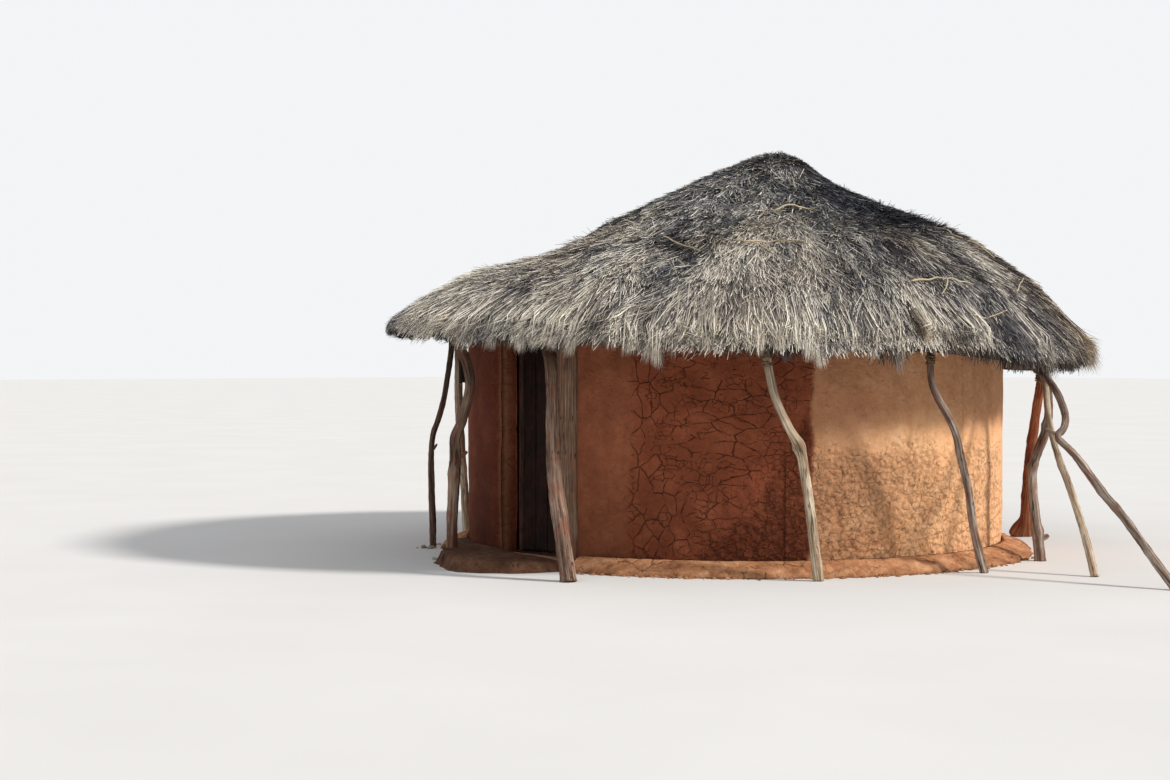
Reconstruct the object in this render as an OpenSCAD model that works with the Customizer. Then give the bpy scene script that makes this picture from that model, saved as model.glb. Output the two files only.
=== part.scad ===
// Round mud hut with a thatched roof, a plank door and crooked posts round its wall.
// The origin is the middle of the round wall, on the ground. +Z is up and the
// doorway faces -Y. A bearing is counted from the doorway, anticlockwise from above.

/* [Wall] */
// Outer radius of the round wall
wall_r = 2290; // [2200:5:2330]
// Thickness of the mud wall
wall_t = 200; // [150:5:240]
// Height of the wall at the middle of its sloping top
wall_h = 1850; // [1750:5:1860]

/* [Base] */
// Height of the mud bench round the foot of the wall
plinth_h = 110; // [60:5:150]
// How far the mud bench reaches out from the wall
plinth_w = 240; // [150:5:250]
// Thickness of the beaten earth floor
floor_t = 60; // [30:5:90]
// How far the bank of earth at the doorway reaches out from the wall
threshold_w = 780; // [700:5:800]
// Height of the bank of earth at its outer edge
threshold_h = 100; // [80:5:110]

/* [Doorway] */
// Width of the doorway in the wall, with the jamb post in it
doorway_w = 950; // [900:5:1000]
// Height of the mud over the lintel, in the middle of the doorway
over_door_h = 100; // [70:5:130]
// Width of the hewn jamb post on the side away from the hinge
jamb_w = 255; // [200:5:280]
// How far the line of the door stands inside the middle of the wall
door_inset = 110; // [100:2:120]
// Height of the timber lintel
lintel_h = 80; // [60:5:95]
// Distance that the lintel runs into the wall on each side
lintel_bearing = 60; // [30:5:90]

/* [Door] */
// Thickness of the door planks
plank_t = 28; // [20:1:40]
// Number of planks in the leaf
planks = 5; // [3:1:7]
// Diameter of the round pivot stile
stile_d = 60; // [50:1:70]
// Diameter of the pivot pins at both ends of the stile
pin_d = 34; // [24:1:40]
// Length of each pivot pin
pin_l = 35; // [25:1:45]
// Angle at which the leaf stands ajar, in degrees
door_ajar = 6; // [0:1:20]

/* [Posts] */
// Distance from the wall to the middle of the ring of eave beams
verandah_w = 450; // [430:5:480]
// Typical diameter of a post
post_d = 80; // [65:1:88]
// Length of one unit in the lists of bends and strays of the crooked posts
crook = 100; // [85:1:108]
// How far the foot of the near prop stands outside the mud bench
near_prop_out = 930; // [700:10:1100]
// How far the foot of the far prop stands outside the mud bench
far_prop_out = 1780; // [1400:10:1900]

/* [Frame of the roof] */
// Depth of the eave beams below the sloping top of the wall
beam_below_wall = 155; // [145:5:165]
// Diameter of the eave beams
beam_d = 72; // [62:1:84]
// Number of rafters on each eave beam
rafters_per_beam = 2; // [1:1:2]
// Diameter of a rafter where it crosses the eave beam
rafter_d = 60; // [50:1:65]
// Diameter of a rafter at its upper end
rafter_tip_d = 34; // [28:1:36]
// Radius of the ring in which the upper ends of the rafters meet
crown_r = 210; // [200:5:260]
// Height of that ring above the mean height of the eave beams
crown_rise = 1330; // [1230:5:1430]
// Distance of the crown from the middle of the wall
crown_shift = 390; // [300:5:420]
// Bearing towards which the crown is shifted and the eave falls, in degrees
fall_bearing = 138; // [130:1:146]
// Diameter of the battens tied across the rafters
batten_d = 30; // [24:1:36]
// Number of rings of battens
batten_rings = 4; // [3:1:5]

/* [Thatch] */
// How far the thatch reaches past the ring of eave beams
overhang = 250; // [200:5:300]
// Thickness of the thatch over the battens, measured upright
thatch_t = 215; // [180:5:250]
// Extra thickness half way down the side towards which the crown is shifted
thatch_swell = 170; // [100:5:190]
// Thickness of the thatch at the eave edge
eave_t = 165; // [140:5:200]
// Height by which each course stands proud of the course below it
course_step = 42; // [30:1:60]
// Thickness of the cap over the crown
cap_t = 300; // [280:5:350]
// Length of one unit in the list of humps and hollows of the worn thatch
wear = 100; // [60:5:120]

/* [Hidden] */

// Gap between pieces that rest against each other
seat = 0.3;
// Gap between the thatch and the battens, at the line of a rafter
thatch_gap = 1.2;
// Number of sectors that the round wall is built in
wall_sectors = 8;
// Gap between a pivot pin and its hole, all round
pin_clear = 0.05;
// Gap between the moving leaf and what is fixed round it
leaf_clear = 8;
// Fall of the wall top in each metre, towards the fall bearing
fall = 0.055;
// Fineness of true circles: large ones and those of sticks and pins
wall_fn = 360;
stick_fn = 48;
heap_fn = 36;
// A length greater than the hut, for cutting tools
far = 4 * wall_r;

mud = "#b5714f";
dark_mud = "#8f5238";
earth = "#a9805f";
old_wood = "#8d7d6c";
dark_wood = "#5e4a3a";
red_wood = "#8a5a43";
grass = "#8b8e90";
pale_grass = "#a9a59a";

// Points, blends and repeatable irregularity

function at(bearing, r, z = 0) = [r * sin(bearing), -r * cos(bearing), z];
function blend(a, b, f) = a + (b - a) * f;
function unit(v) = v / norm(v);
function flat(v) = [v[0], v[1], 0];
function turned(v) = [-v[1], v[0], 0];
function wave(a, k) = (sin(3 * a + 40 * k) + sin(7 * a + 95 * k) + sin(13 * a + 140 * k)) / 3;

// Point on a smooth curve through p1 and p2, with p0 before and p3 after them
function smooth(p0, p1, p2, p3, f) =
    0.5 * (2 * p1 + (p2 - p0) * f + (2 * p0 - 5 * p1 + 4 * p2 - p3) * f * f
        + (3 * p1 - p0 - 3 * p2 + p3) * f * f * f);
function smoothed(pts, steps) =
    let (last = len(pts) - 1)
    concat(
        [for (i = [0 : last - 1], s = [0 : steps - 1])
            smooth(pts[max(i - 1, 0)], pts[i], pts[i + 1], pts[min(i + 2, last)], s / steps)],
        [pts[last]]
    );

// Faces between rings of n points each. The diagonal of the last strip of a
// closed section runs the other way, so that it matches the piece that it faces.
function strip_faces(rings, n, closed_section, closed_ring) =
    [for (j = [0 : rings - (closed_ring ? 1 : 2)], i = [0 : n - (closed_section ? 1 : 2)])
        let (
            a = j * n + i,
            b = j * n + (i + 1) % n,
            c = ((j + 1) % rings) * n + (i + 1) % n,
            d = ((j + 1) % rings) * n + i
        )
        each i == n - 1 ? [[a, b, d], [b, c, d]] : [[a, b, c], [a, c, d]]];

// Heights that follow the sloping top of the wall

// Height of the wall top at a bearing and radius
function wall_top(bearing, r) = wall_h - fall * r * cos(bearing - fall_bearing);
beam_z = wall_h - beam_below_wall;
ring_r = wall_r + verandah_w;
bench_r = wall_r + plinth_w;
lintel_top = wall_top(0, wall_r) - over_door_h;
door_top = lintel_top - lintel_h;

// Ring of eave beams: bearing of each corner, and how far it strays outwards and
// upwards from an even sloping ring, in units of the crookedness
RING = [
    [-11, -0.4, 0.2],
    [13.5, 0.1, 0.1],
    [49, 0.1, 0.1],
    [76, 0.1, 0.9],
    [108.5, 0, 0.4],
    [141, -0.2, 0.1],
    [172, 0, 0.1],
    [204, 0, -0.1],
    [236, 0, -0.2],
    [266, 0, 0],
    [294, -0.4, 0.2],
    [321, -2.9, 1.3]
];
corners = len(RING);
function corner(i) =
    let (
        c = RING[(i + corners) % corners],
        r = ring_r + c[1] * crook
    )
    at(c[0], r, wall_top(c[0], r) - beam_below_wall + c[2] * crook);
function beam_dir(i) = unit(corner(i + 1) - corner(i));
function beam_point(i, f) = blend(corner(i), corner(i + 1), f);
function beam_turn(i) = acos(min(1, beam_dir(i - 1) * beam_dir(i)));
function beam_cut(i) = beam_d / 2 * tan(beam_turn(i) / 2) + 2;

// Rafters: line i starts at the crown ring and passes over its beam

crown_z = beam_z + crown_rise;
crown = at(fall_bearing, crown_shift, crown_z);
lines = corners * rafters_per_beam;
function seat_on_beam(i) =
    let (k = i % lines)
    beam_point(floor(k / rafters_per_beam), (k % rafters_per_beam + 0.5) / rafters_per_beam);
function out_dir(i) = unit(flat(seat_on_beam(i) - crown));
function beam_reach(i) = norm(flat(seat_on_beam(i) - crown));
function ring_point(i) = crown + out_dir(i) * crown_r;
function line_dir(i, lift) = unit(seat_on_beam(i) + [0, 0, lift] - ring_point(i));
function line_lift(i) =
    let (
        apart = (beam_d + rafter_d) / 2 + 2 * seat,
        beam = beam_dir(floor((i % lines) / rafters_per_beam)),
        first = apart / abs(unit(cross(beam, line_dir(i, apart)))[2])
    )
    apart / abs(unit(cross(beam, line_dir(i, first)))[2]);
lifts = [for (i = [0 : lines - 1]) line_lift(i)];
slopes = [for (i = [0 : lines - 1])
    (crown_z - seat_on_beam(i)[2] - lifts[i]) / (beam_reach(i) - crown_r)];
function line_z(i, d) = crown_z - slopes[i % lines] * (d - crown_r);
function line_radius(i, d) =
    blend(rafter_tip_d, rafter_d, (d - crown_r) / (beam_reach(i) - crown_r)) / 2;
function line_point(i, d, lift) = flat(crown) + out_dir(i) * d + [0, 0, line_z(i, d) + lift];
// Lift that sets a stick of radius r on top of a rafter at distance d from the crown
function on_rafter(i, d, r) = (line_radius(i, d) + r + seat) * sqrt(1 + pow(slopes[i % lines], 2));

// Thatch: a section stands at every rafter line and at even places between them

between = 4;
sections = lines * between;
function section_mix(j, a, b) = blend(a, b, (j % between) / between);
function foot_of(j) =
    let (i = floor(j / between))
    section_mix(j, flat(crown) + out_dir(i) * beam_reach(i),
        flat(crown) + out_dir(i + 1) * beam_reach(i + 1));
feet = [for (j = [0 : sections - 1]) flat(foot_of(j) - crown)];
bearings = [for (j = [0 : sections - 1]) atan2(foot_of(j)[0], -foot_of(j)[1])];
// Distance from the crown to the eave, where the line meets a circle round the wall
reaches = [for (j = [0 : sections - 1])
    let (
        u = unit(feet[j]),
        b = u * flat(crown),
        r = ring_r + overhang * (1 + 0.1 * wave(bearings[j], 1))
    )
    sqrt(b * b - flat(crown) * flat(crown) + r * r) - b];
function under_line(i, d) =
    line_z(i, d)
        + (line_radius(i, d) + batten_d + thatch_gap) * sqrt(1 + pow(slopes[i % lines], 2));
function under_beam(j) =
    let (i = floor(j / between))
    section_mix(j, under_line(i, beam_reach(i)), under_line(i + 1, beam_reach(i + 1)));
function under_crown(j) =
    let (i = floor(j / between))
    section_mix(j, under_line(i, crown_r), under_line(i + 1, crown_r));
// Underside at share t of the way to the beam: a plain slope between two rafters
function under_at(j, t) =
    let (
        i = floor(j / between),
        a = flat(crown) + out_dir(i) * t * beam_reach(i) + [0, 0, under_line(i, t * beam_reach(i))],
        b = flat(crown) + out_dir(i + 1) * t * beam_reach(i + 1)
            + [0, 0, under_line(i + 1, t * beam_reach(i + 1))]
    )
    section_mix(j, a, b);
// Top of the thatch at share s of the way to the eave. The edge of the eave is
// thinner, over the last fifth of the way.
edge_share = 0.8;
function swell_at(j, s) =
    thatch_swell * (1 + cos(bearings[j] - fall_bearing)) / 2 * sin(180 * s * s);
// Humps and hollows of the worn thatch: bearing, share of the way down and height in
// units of the wear, then how far each one spreads round, in degrees, and down
HUMPS = [
    [318, 0.25, 0.85, 75, 0.13],
    [322, 0.58, -1.1, 60, 0.2],
    [312, 0.94, -0.7, 32, 0.24],
    [350, 0.42, 0.35, 30, 0.14],
    [20, 0.72, 0.3, 24, 0.16],
    [48, 0.34, -0.3, 26, 0.12],
    [75, 0.66, 0.3, 26, 0.18],
    [138, 0.15, -1, 70, 0.1],
    [138, 0.58, 1.25, 60, 0.3],
    [138, 0.88, 1, 60, 0.3],
    [225, 0.5, -0.35, 30, 0.2],
    [262, 0.74, 0.3, 28, 0.18]
];
function bump(d, reach) = abs(d) < reach ? (1 + cos(180 * d / reach)) / 2 : 0;
function turn_from(a, b) = (a - b + 540) % 360 - 180;
function worn_at(j, s) =
    let (heights = [for (h = HUMPS)
        h[2] * bump(turn_from(bearings[j], h[0]), h[3]) * bump(s - h[1], h[4])])
    wear * heights * [for (h = HUMPS) 1];
function top_height(j, s) =
    let (
        slope = (under_crown(j) - under_beam(j)) / (norm(feet[j]) - crown_r),
        edge = max(0, (s - edge_share) / (1 - edge_share))
    )
    under_crown(j) - slope * (s * reaches[j] - crown_r) + thatch_t + swell_at(j, s)
        + worn_at(j, s) + (eave_t - thatch_t) / 2 * edge * edge;
function top_at(j, s, lift = 0) =
    flat(crown) + unit(feet[j]) * s * reaches[j] + [0, 0, top_height(j, s) + lift];
// Underside of the eave edge: past the beams the thatch droops less than the rafters
droop = 0.42;
function eave_under(j) =
    let (d = reaches[j])
    flat(crown) + unit(feet[j]) * d + [0, 0, under_beam(j) - droop * (d - norm(feet[j]))];
function eave_top(j) = eave_under(j) + [0, 0, eave_t + worn_at(j, 1)];

// Course edges: share of the way down on the underside and on top, and how ragged
under_shares = [0.14, 0.37, 0.6, 0.82];
top_shares = [0.19, 0.46, 0.68, 0.87];
ragged = 0.014;
function top_share(k, j) = top_shares[k] + ragged * wave(bearings[j], k + 2);
function step_at(k, j) = course_step * (1 + 0.35 * wave(bearings[j], k + 7));

// Section of course k: it lies on the course below it and under the one above
function course_section(k, j) =
    let (
        last = k == len(top_shares),
        s0 = top_share(k - 1, j),
        s1 = last ? 1 : top_share(k, j)
    )
    [
        under_at(j, under_shares[k - 1]),
        last ? under_at(j, 1) : under_at(j, under_shares[k]),
        last ? eave_under(j) : top_at(j, s1, 2 * seat),
        last ? eave_top(j) : top_at(j, s1 - 0.004, step_at(k, j)),
        top_at(j, blend(s0, s1, 0.55), last ? 0 : step_at(k, j) / 2),
        top_at(j, s0)
    ];
module thatch_course(k, tint) {
    points = [for (j = [0 : sections - 1]) each course_section(k, j)];
    color(tint)
        polyhedron(points, strip_faces(sections, 6, true, true), convexity = 8);
}

// Cap over the crown: an open section swept round, closed at its two middle points
cap_hollow = 0.7;
function cap_section(j) = [
    under_at(j, cap_hollow * crown_r / norm(feet[j])),
    under_at(j, under_shares[0]),
    top_at(j, top_share(0, j), 2 * seat),
    top_at(j, top_share(0, j) - 0.004, 0.6 * step_at(0, j)),
    top_at(j, 0.65 * top_shares[0], 1.4 * course_step)
];

module thatch_cap() {
    n = len(cap_section(0));
    mid_z = crown_z + 0.3 * crown_r;
    mid_under = [crown[0], crown[1], mid_z + batten_d + rafter_tip_d];
    mid_top = [crown[0], crown[1], mid_z + cap_t];
    points = concat([for (j = [0 : sections - 1]) each cap_section(j)], [mid_under, mid_top]);
    low = sections * n;
    faces = concat(
        strip_faces(sections, n, false, true),
        [for (j = [0 : sections - 1]) [j * n, ((j + 1) % sections) * n, low]],
        [for (j = [0 : sections - 1])
            [j * n + n - 1, low + 1, ((j + 1) % sections) * n + n - 1]]
    );
    color(grass)
        polyhedron(points, faces, convexity = 8);
}

// Roof frame

module stick(a, b, r1, r2) {
    v = b - a;
    translate(a)
        rotate([0, acos(v[2] / norm(v)), atan2(v[1], v[0])])
            cylinder(h = norm(v), r1 = r1, r2 = r2, $fn = stick_fn);
}

module eave_beams() {
    color(dark_wood)
        for (i = [0 : corners - 1]) {
            d = beam_dir(i);
            stick(corner(i) + d * beam_cut(i), corner(i + 1) - d * beam_cut(i + 1),
                beam_d / 2, beam_d / 2);
        }
}

// Each rafter ends a little past its beam, well inside the thatch
function rafter_out(i) = beam_reach(i) + overhang * (0.36 + 0.12 * wave(50 * i, 3));

module rafters() {
    color(old_wood)
        for (i = [0 : lines - 1])
            stick(line_point(i, crown_r, 0), line_point(i, rafter_out(i), 0),
                line_radius(i, crown_r), line_radius(i, rafter_out(i)));
}

// Lumps of mud on the wall top, one under each rafter, with a slanting flat top
bed_inset = 40;
bed_w = rafter_d + 50;

// Distance from the crown at which rafter i crosses a circle round the wall's middle
function crossing(i, r) =
    let (b = out_dir(i) * flat(crown))
    sqrt(b * b - flat(crown) * flat(crown) + r * r) - b;

// Half-space above a plane at angle a to the level, which dips along the x axis
module above_slope(a) {
    rotate([0, a, 0])
        translate([-far / 2, -far / 2, 0])
            cube([far, far, far]);
}

module rafter_beds() {
    bed_l = wall_t - 2 * bed_inset;
    color(mud)
        for (i = [0 : lines - 1]) {
            d = crossing(i, wall_r - wall_t / 2);
            r = line_radius(i, d + bed_l / 2) + seat;
            dip = atan(slopes[i]);
            intersection() {
                translate(flat(line_point(i, d, 0)))
                    rotate([0, 0, atan2(out_dir(i)[1], out_dir(i)[0])])
                        difference() {
                            translate([-bed_l / 2, -bed_w / 2, 0])
                                cube([bed_l, bed_w, line_z(i, d)]);
                            translate([0, 0, line_z(i, d) - r / cos(dip)])
                                above_slope(dip);
                        }
                translate([0, 0, seat])
                    above_wall_top();
            }
        }
}

function batten_share(k) = 0.26 + 0.66 * k / (batten_rings - 1);
function batten_end(i, k) =
    let (d = batten_share(k) * beam_reach(i))
    line_point(i, d, on_rafter(i, d, batten_d / 2));

module battens() {
    color(dark_wood)
        for (k = [0 : batten_rings - 1], i = [0 : lines - 1]) {
            a = batten_end(i, k);
            b = batten_end(i + 1, k);
            cut = unit(b - a) * batten_d / 6;
            stick(a + cut, b - cut, batten_d / 2, batten_d / 2);
        }
}

hoop_d = 26;

module crown_hoop() {
    steepest = max(slopes);
    drop = (rafter_tip_d / 2 + hoop_d / 2 + 2 * seat) * sqrt(1 + steepest * steepest);
    color(dark_wood)
        translate([crown[0], crown[1], crown_z - drop])
            rotate_extrude($fn = stick_fn)
                translate([crown_r, 0])
                    circle(d = hoop_d, $fn = stick_fn);
}

// Crooked posts

post_sides = 8;

// Height of the flat top of the post under ring corner i
function post_top(i, r) =
    let (
        a = beam_dir(i),
        b = -beam_dir(i - 1),
        drop = max(0, -a[2] / norm(flat(a)), -b[2] / norm(flat(b))),
        rise = max(norm(a) / norm(flat(a)), norm(b) / norm(flat(b)))
    )
    corner(i)[2] - beam_d / 2 * rise - drop * r - seat;

// Middle line. Bends are the share of the height, then the shift anticlockwise and
// the shift outwards in units of the crookedness. The last stretch of a prop is nearly
// upright, and its lower end stands off so that the curve doesn't swing past its tip.
stand_off = 0.07;
function middle_line(foot, top, bends, upright) =
    let (
        out = unit(flat(foot + top)),
        side = turned(out)
    )
    smoothed(concat([foot],
        [for (b = bends) blend(foot, top, b[0]) + (side * b[1] + out * b[2]) * crook],
        upright > 0 ? [top + out * stand_off * crook - [0, 0, upright]] : [], [top]), 3);

function slid(p, dir, z) = p + dir * ((z - p[2]) / dir[2]);
function post_ring(line, i, r, toward) =
    let (
        last = len(line) - 1,
        dir = unit(line[min(i + 1, last)] - line[max(i - 1, 0)]),
        u = unit(toward - dir * (dir * toward)),
        v = cross(dir, u)
    )
    [for (k = [0 : post_sides - 1])
        let (
            a = 360 * k / post_sides,
            p = line[i] + (u * cos(a) + v * sin(a)) * r
        )
        i == 0 || i == last ? slid(p, dir, line[i][2]) : p];

// A post from foot to top, with its diameters there in units of the typical one
module crooked_post(foot, top, foot_k, top_k, bends, flare = 0, lean_in = undef, upright = 0) {
    line = middle_line(foot, top, bends, upright);
    rings = len(line);
    toward = is_undef(lean_in) ? -unit(flat(foot)) : lean_in;
    points = [for (i = [0 : rings - 1])
        let (
            f = i / (rings - 1),
            knobs = i == 0 || i > rings - 4 ? 0 : 0.07 * wave(57 * i + foot[0], 1),
            k = blend(foot_k, top_k, f) * (1 + knobs) + flare * exp(-9 * f)
        )
        each post_ring(line, i, k * post_d / 2, toward)];
    low = [for (k = [0 : post_sides - 1]) k];
    high = [for (k = [post_sides - 1 : -1 : 0]) (rings - 1) * post_sides + k];
    polyhedron(points, concat([low], post_strips(rings), [high]), convexity = 6);
}

function post_strips(rings) =
    [for (j = [0 : rings - 2], i = [0 : post_sides - 1])
        let (
            a = j * post_sides + i,
            b = j * post_sides + (i + 1) % post_sides,
            c = b + post_sides,
            d = a + post_sides
        )
        each [[a, c, b], [a, d, c]]];

// A post under corner i of the ring, with its foot at a bearing, out from the bench
module ring_post(i, bearing, out, foot_k, top_k, bends, flare = 0) {
    crooked_post(at(bearing, bench_r + out * crook),
        flat(corner(i)) + [0, 0, post_top(i, top_k * post_d / 2)],
        foot_k, top_k, bends, flare);
}

// A prop that leans on the outer side of beam i, at share f along it. Its tip is
// bent upright and ends at the height of the beam's axis.
module prop(i, f, bearing, out, foot_k, top_k, bends) {
    away = -turned(unit(flat(beam_dir(i))));
    tip = beam_point(i, f) + away * (beam_d / 2 + top_k * post_d / 2 + 2 * seat);
    crooked_post(at(bearing, bench_r + out), tip, foot_k, top_k, bends, 0, -away, beam_d);
}

// Foot of the post that stands in the bank at the doorway: bearing, way out in crooks, thickness
left_foot_bearing = -17;
left_foot_out = 0.7;
left_foot_k = 1.2;

module post_left() {
    color(old_wood)
        ring_post(0, left_foot_bearing, left_foot_out, left_foot_k, 1,
            [[0.2, 0, 0], [0.45, 0.08, -0.16], [0.55, 0.06, -0.14], [0.62, 0.3, -0.58],
             [0.77, 0.64, -1.18], [0.86, 0.55, -1], [0.94, 0.32, -0.56]]);
}

module post_doorway() {
    color(old_wood)
        ring_post(1, 21, 5.1, 1.6, 1.1,
            [[0.2, -0.12, 0.08], [0.42, -0.26, 0.16], [0.64, -0.08, 0.05], [0.85, 0.17, -0.11]]);
}

module post_front() {
    color(old_wood)
        ring_post(2, 57.5, 1.5, 0.98, 0.78,
            [[0.28, 0.52, 0.06], [0.46, 0.79, 0.07], [0.58, 0.88, 0.06], [0.66, 0.44, 0.03],
             [0.77, 0, 0], [0.88, -0.13, 0]]);
}

module post_front_right() {
    color(old_wood)
        ring_post(3, 88, 2.1, 0.82, 0.65,
            [[0.2, 0, 0], [0.36, 0.24, 0.18], [0.5, 0.27, 0.2], [0.62, 0.34, 0.23],
             [0.7, 0.2, 0.13], [0.8, -0.26, -0.15], [0.88, -0.38, -0.22]]);
}

module post_right() {
    color(old_wood)
        ring_post(4, 111, 1.5, 1.16, 0.84,
            [[0.16, -0.14, -0.26], [0.33, -0.32, -0.6], [0.48, -0.36, -0.66],
             [0.59, -0.1, -0.2], [0.7, 0.18, 0.32], [0.85, 0.18, 0.34]]);
}

module post_right_back() {
    color(red_wood)
        ring_post(5, 157, 3.7, 1.2, 1.05,
            [[0.12, 0, -0.08], [0.24, 0.04, -0.16], [0.45, 0.05, -0.24], [0.67, 0.02, -0.16]],
            0.56);
}

module post_back(i, bearing, out, side) {
    color(old_wood)
        ring_post(i, bearing, out, 1.15, 0.95,
            [[0.2, 0.14 * side, 0.1], [0.4, 0.34 * side, 0.24], [0.56, 0.22 * side, 0.3],
             [0.72, -0.2 * side, 0.08], [0.87, -0.14 * side, -0.1]]);
}

module post_left_back() {
    color(pale_grass)
        ring_post(10, 291, 1.6, 1, 0.85,
            [[0.25, -0.16, 0.12], [0.5, -0.1, 0.26], [0.7, 0.12, 0.14], [0.86, 0.12, 0]]);
}

module post_left_thin() {
    color(dark_wood)
        ring_post(11, 320, 0.7, 0.72, 0.6,
            [[0.12, 0, 0.18], [0.28, 0.1, 0.52], [0.42, 0.15, 0.76], [0.51, 0.14, 0.7],
             [0.57, 0.08, 0.38], [0.68, 0, 0], [0.82, 0, -0.22], [0.91, 0, -0.26]]);
}

module prop_right_near() {
    color(old_wood)
        prop(3, 0.9, 95, near_prop_out, 0.75, 0.6,
            [[0.15, 0.04, 0.04], [0.31, -0.05, -0.06], [0.45, -0.19, -0.24],
             [0.59, -0.33, -0.42], [0.73, -0.28, -0.37], [0.88, -0.04, -0.06]]);
}

module prop_right_far() {
    color(old_wood)
        prop(3, 0.8, 90, far_prop_out, 0.82, 0.65,
            [[0.16, -0.21, -0.19], [0.3, -0.36, -0.34], [0.4, -0.66, -0.62],
             [0.56, -0.83, -0.82], [0.635, -1.2, -1.2], [0.67, -0.6, -0.6], [0.735, 0, 0],
             [0.84, 0.31, 0.33], [0.93, 0.2, 0.22]]);
}

// Mud work

opening_half = doorway_w / 2;
doorway_bearing = asin(opening_half / wall_r);
lintel_half = opening_half + lintel_bearing;
wall_mid_y = -sqrt(pow(wall_r - wall_t / 2, 2) - pow(opening_half, 2));
door_y = wall_mid_y + door_inset;
lintel_out_y = wall_mid_y - wall_t / 2 + 25;
lintel_in_y = door_y + stile_d;
sill_depth = 100;
sill_out_y = door_y - sill_depth / 2;

// Half-space above the sloping top of the wall
module above_wall_top() {
    translate([0, 0, wall_h])
        rotate([0, 0, fall_bearing - 90])
            above_slope(atan(fall));
}

// Stretch of the round wall between two bearings, with its sloping top
module wall_arc(from, to, z0) {
    difference() {
        translate([0, 0, z0])
            rotate([0, 0, from - 90])
                rotate_extrude(angle = to - from, $fn = wall_fn)
                    translate([wall_r - wall_t, 0])
                        square([wall_t, wall_h * 1.2 - z0]);
        above_wall_top();
    }
}

// Upright slot as wide as the doorway, from height z0 up
module doorway_slot(z0) {
    translate([-opening_half, -far, z0])
        cube([doorway_w, far, far]);
}

module lintel_space() {
    translate([-lintel_half, lintel_out_y, door_top])
        cube([2 * lintel_half, lintel_in_y - lintel_out_y, lintel_h]);
}

sector = (360 - 2 * doorway_bearing) / wall_sectors;

module wall_sector(i) {
    start = doorway_bearing + i * sector;
    color(i < 2 ? mud : dark_mud)
        difference() {
            wall_arc(start, start + sector, 0);
            if (i == 0 || i == wall_sectors - 1) {
                doorway_slot(-1);
                lintel_space();
            }
        }
}

module wall_over_door() {
    reach = 2 * doorway_bearing;
    color(mud)
        intersection() {
            wall_arc(-reach, reach, lintel_top);
            doorway_slot(0);
        }
}

// Bearings between which the bank of earth at the doorway takes the bench's place
bench_bearing = doorway_bearing + 2;
bank_bearing = -36;

module plinth() {
    batter = 12;
    round_off = 30;
    worn = 6;
    color(dark_mud)
        rotate([0, 0, bench_bearing - 90])
            rotate_extrude(angle = 360 - bench_bearing + bank_bearing, $fn = wall_fn)
                polygon([
                    [wall_r + seat, 0],
                    [bench_r, 0],
                    [bench_r - batter, plinth_h - round_off],
                    [bench_r - batter - round_off, plinth_h - worn],
                    [wall_r + seat, plinth_h]
                ]);
}

// Low heaps whose hull is the bank: bearing, way out from the wall and radius as shares of
// the bank's width, and height as a share of its height
HEAPS = [
    [-30, 0, 0.3, 1.05],
    [-12, 0.4, 0.3, 1.05],
    [0, 0.7, 0.3, 1],
    [7, 0.55, 0.2, 0.95],
    [9, 0.25, 0.15, 0.6],
    [13, 0.03, 0.08, 0.4]
];

// Bank of trodden earth at the doorway, with the strip inside it up to the sill
module threshold() {
    color(earth) {
        difference() {
            hull()
                for (heap = HEAPS)
                    translate(at(heap[0], wall_r + heap[1] * threshold_w))
                        cylinder(h = heap[3] * threshold_h, r1 = heap[2] * threshold_w,
                            r2 = 0.7 * heap[2] * threshold_w, $fn = heap_fn);
            translate([0, 0, -1])
                cylinder(h = 2 * threshold_h, r = wall_r + seat, $fn = wall_fn);
            beyond(bank_bearing, -1);
            beyond(bench_bearing, 1);
            left_foot_space();
        }
        doorway_strip();
    }
}

// Everything on one side of the upright plane at a bearing: side 1 is the greater bearings
module beyond(bearing, side) {
    rotate([0, 0, bearing - 90])
        translate([0, side > 0 ? -seat : seat - far, -1])
            cube([far, far, 2 * threshold_h]);
}

// Hole in the bank in which the post's foot stands
module left_foot_space() {
    room = 24;
    translate(at(left_foot_bearing, bench_r + left_foot_out * crook) - [0, 0, 1])
        cylinder(h = 2 * threshold_h, r = left_foot_k * post_d / 2 + room, $fn = stick_fn);
}

// Earth between the sill and the outer face of the wall
module doorway_strip() {
    intersection() {
        cylinder(h = floor_t, r = wall_r - seat, $fn = wall_fn);
        translate([-opening_half + seat, -wall_r, 0])
            cube([doorway_w - 2 * seat, wall_r + sill_out_y - seat, floor_t]);
    }
}

module floor() {
    color(earth)
        difference() {
            cylinder(h = floor_t, r = wall_r - wall_t - seat, $fn = wall_fn);
            translate([-opening_half, -wall_r, -1])
                cube([doorway_w, wall_r + sill_out_y + sill_depth + seat, floor_t + 2]);
        }
}

// Doorway and door. The leaf hangs on a round stile that turns in its sill and lintel.

stile_x = -(opening_half - stile_d / 2 - leaf_clear - 10);
stile_y = door_y + 12;
leaf_low = floor_t + leaf_clear;
leaf_high = door_top - leaf_clear;
jamb_x = opening_half - jamb_w;
jamb_out_y = wall_mid_y - wall_t / 2 + 5;
jamb_in_y = stile_y - plank_t / 2 - leaf_clear;
leaf_lap = 40;
leaf_w = jamb_x + leaf_lap - stile_x;

module stile_hole(z, h) {
    translate([stile_x, stile_y, z])
        cylinder(h = h, d = pin_d + 2 * pin_clear, $fn = stick_fn);
}

module door_sill() {
    color(dark_wood)
        difference() {
            translate([-opening_half + seat, sill_out_y, 0])
                cube([doorway_w - 2 * seat, sill_depth, floor_t]);
            stile_hole(floor_t - pin_l, pin_l + 1);
        }
}

module door_lintel() {
    color(dark_wood)
        difference() {
            lintel_space();
            stile_hole(door_top - 1, pin_l + 1);
        }
}

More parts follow.
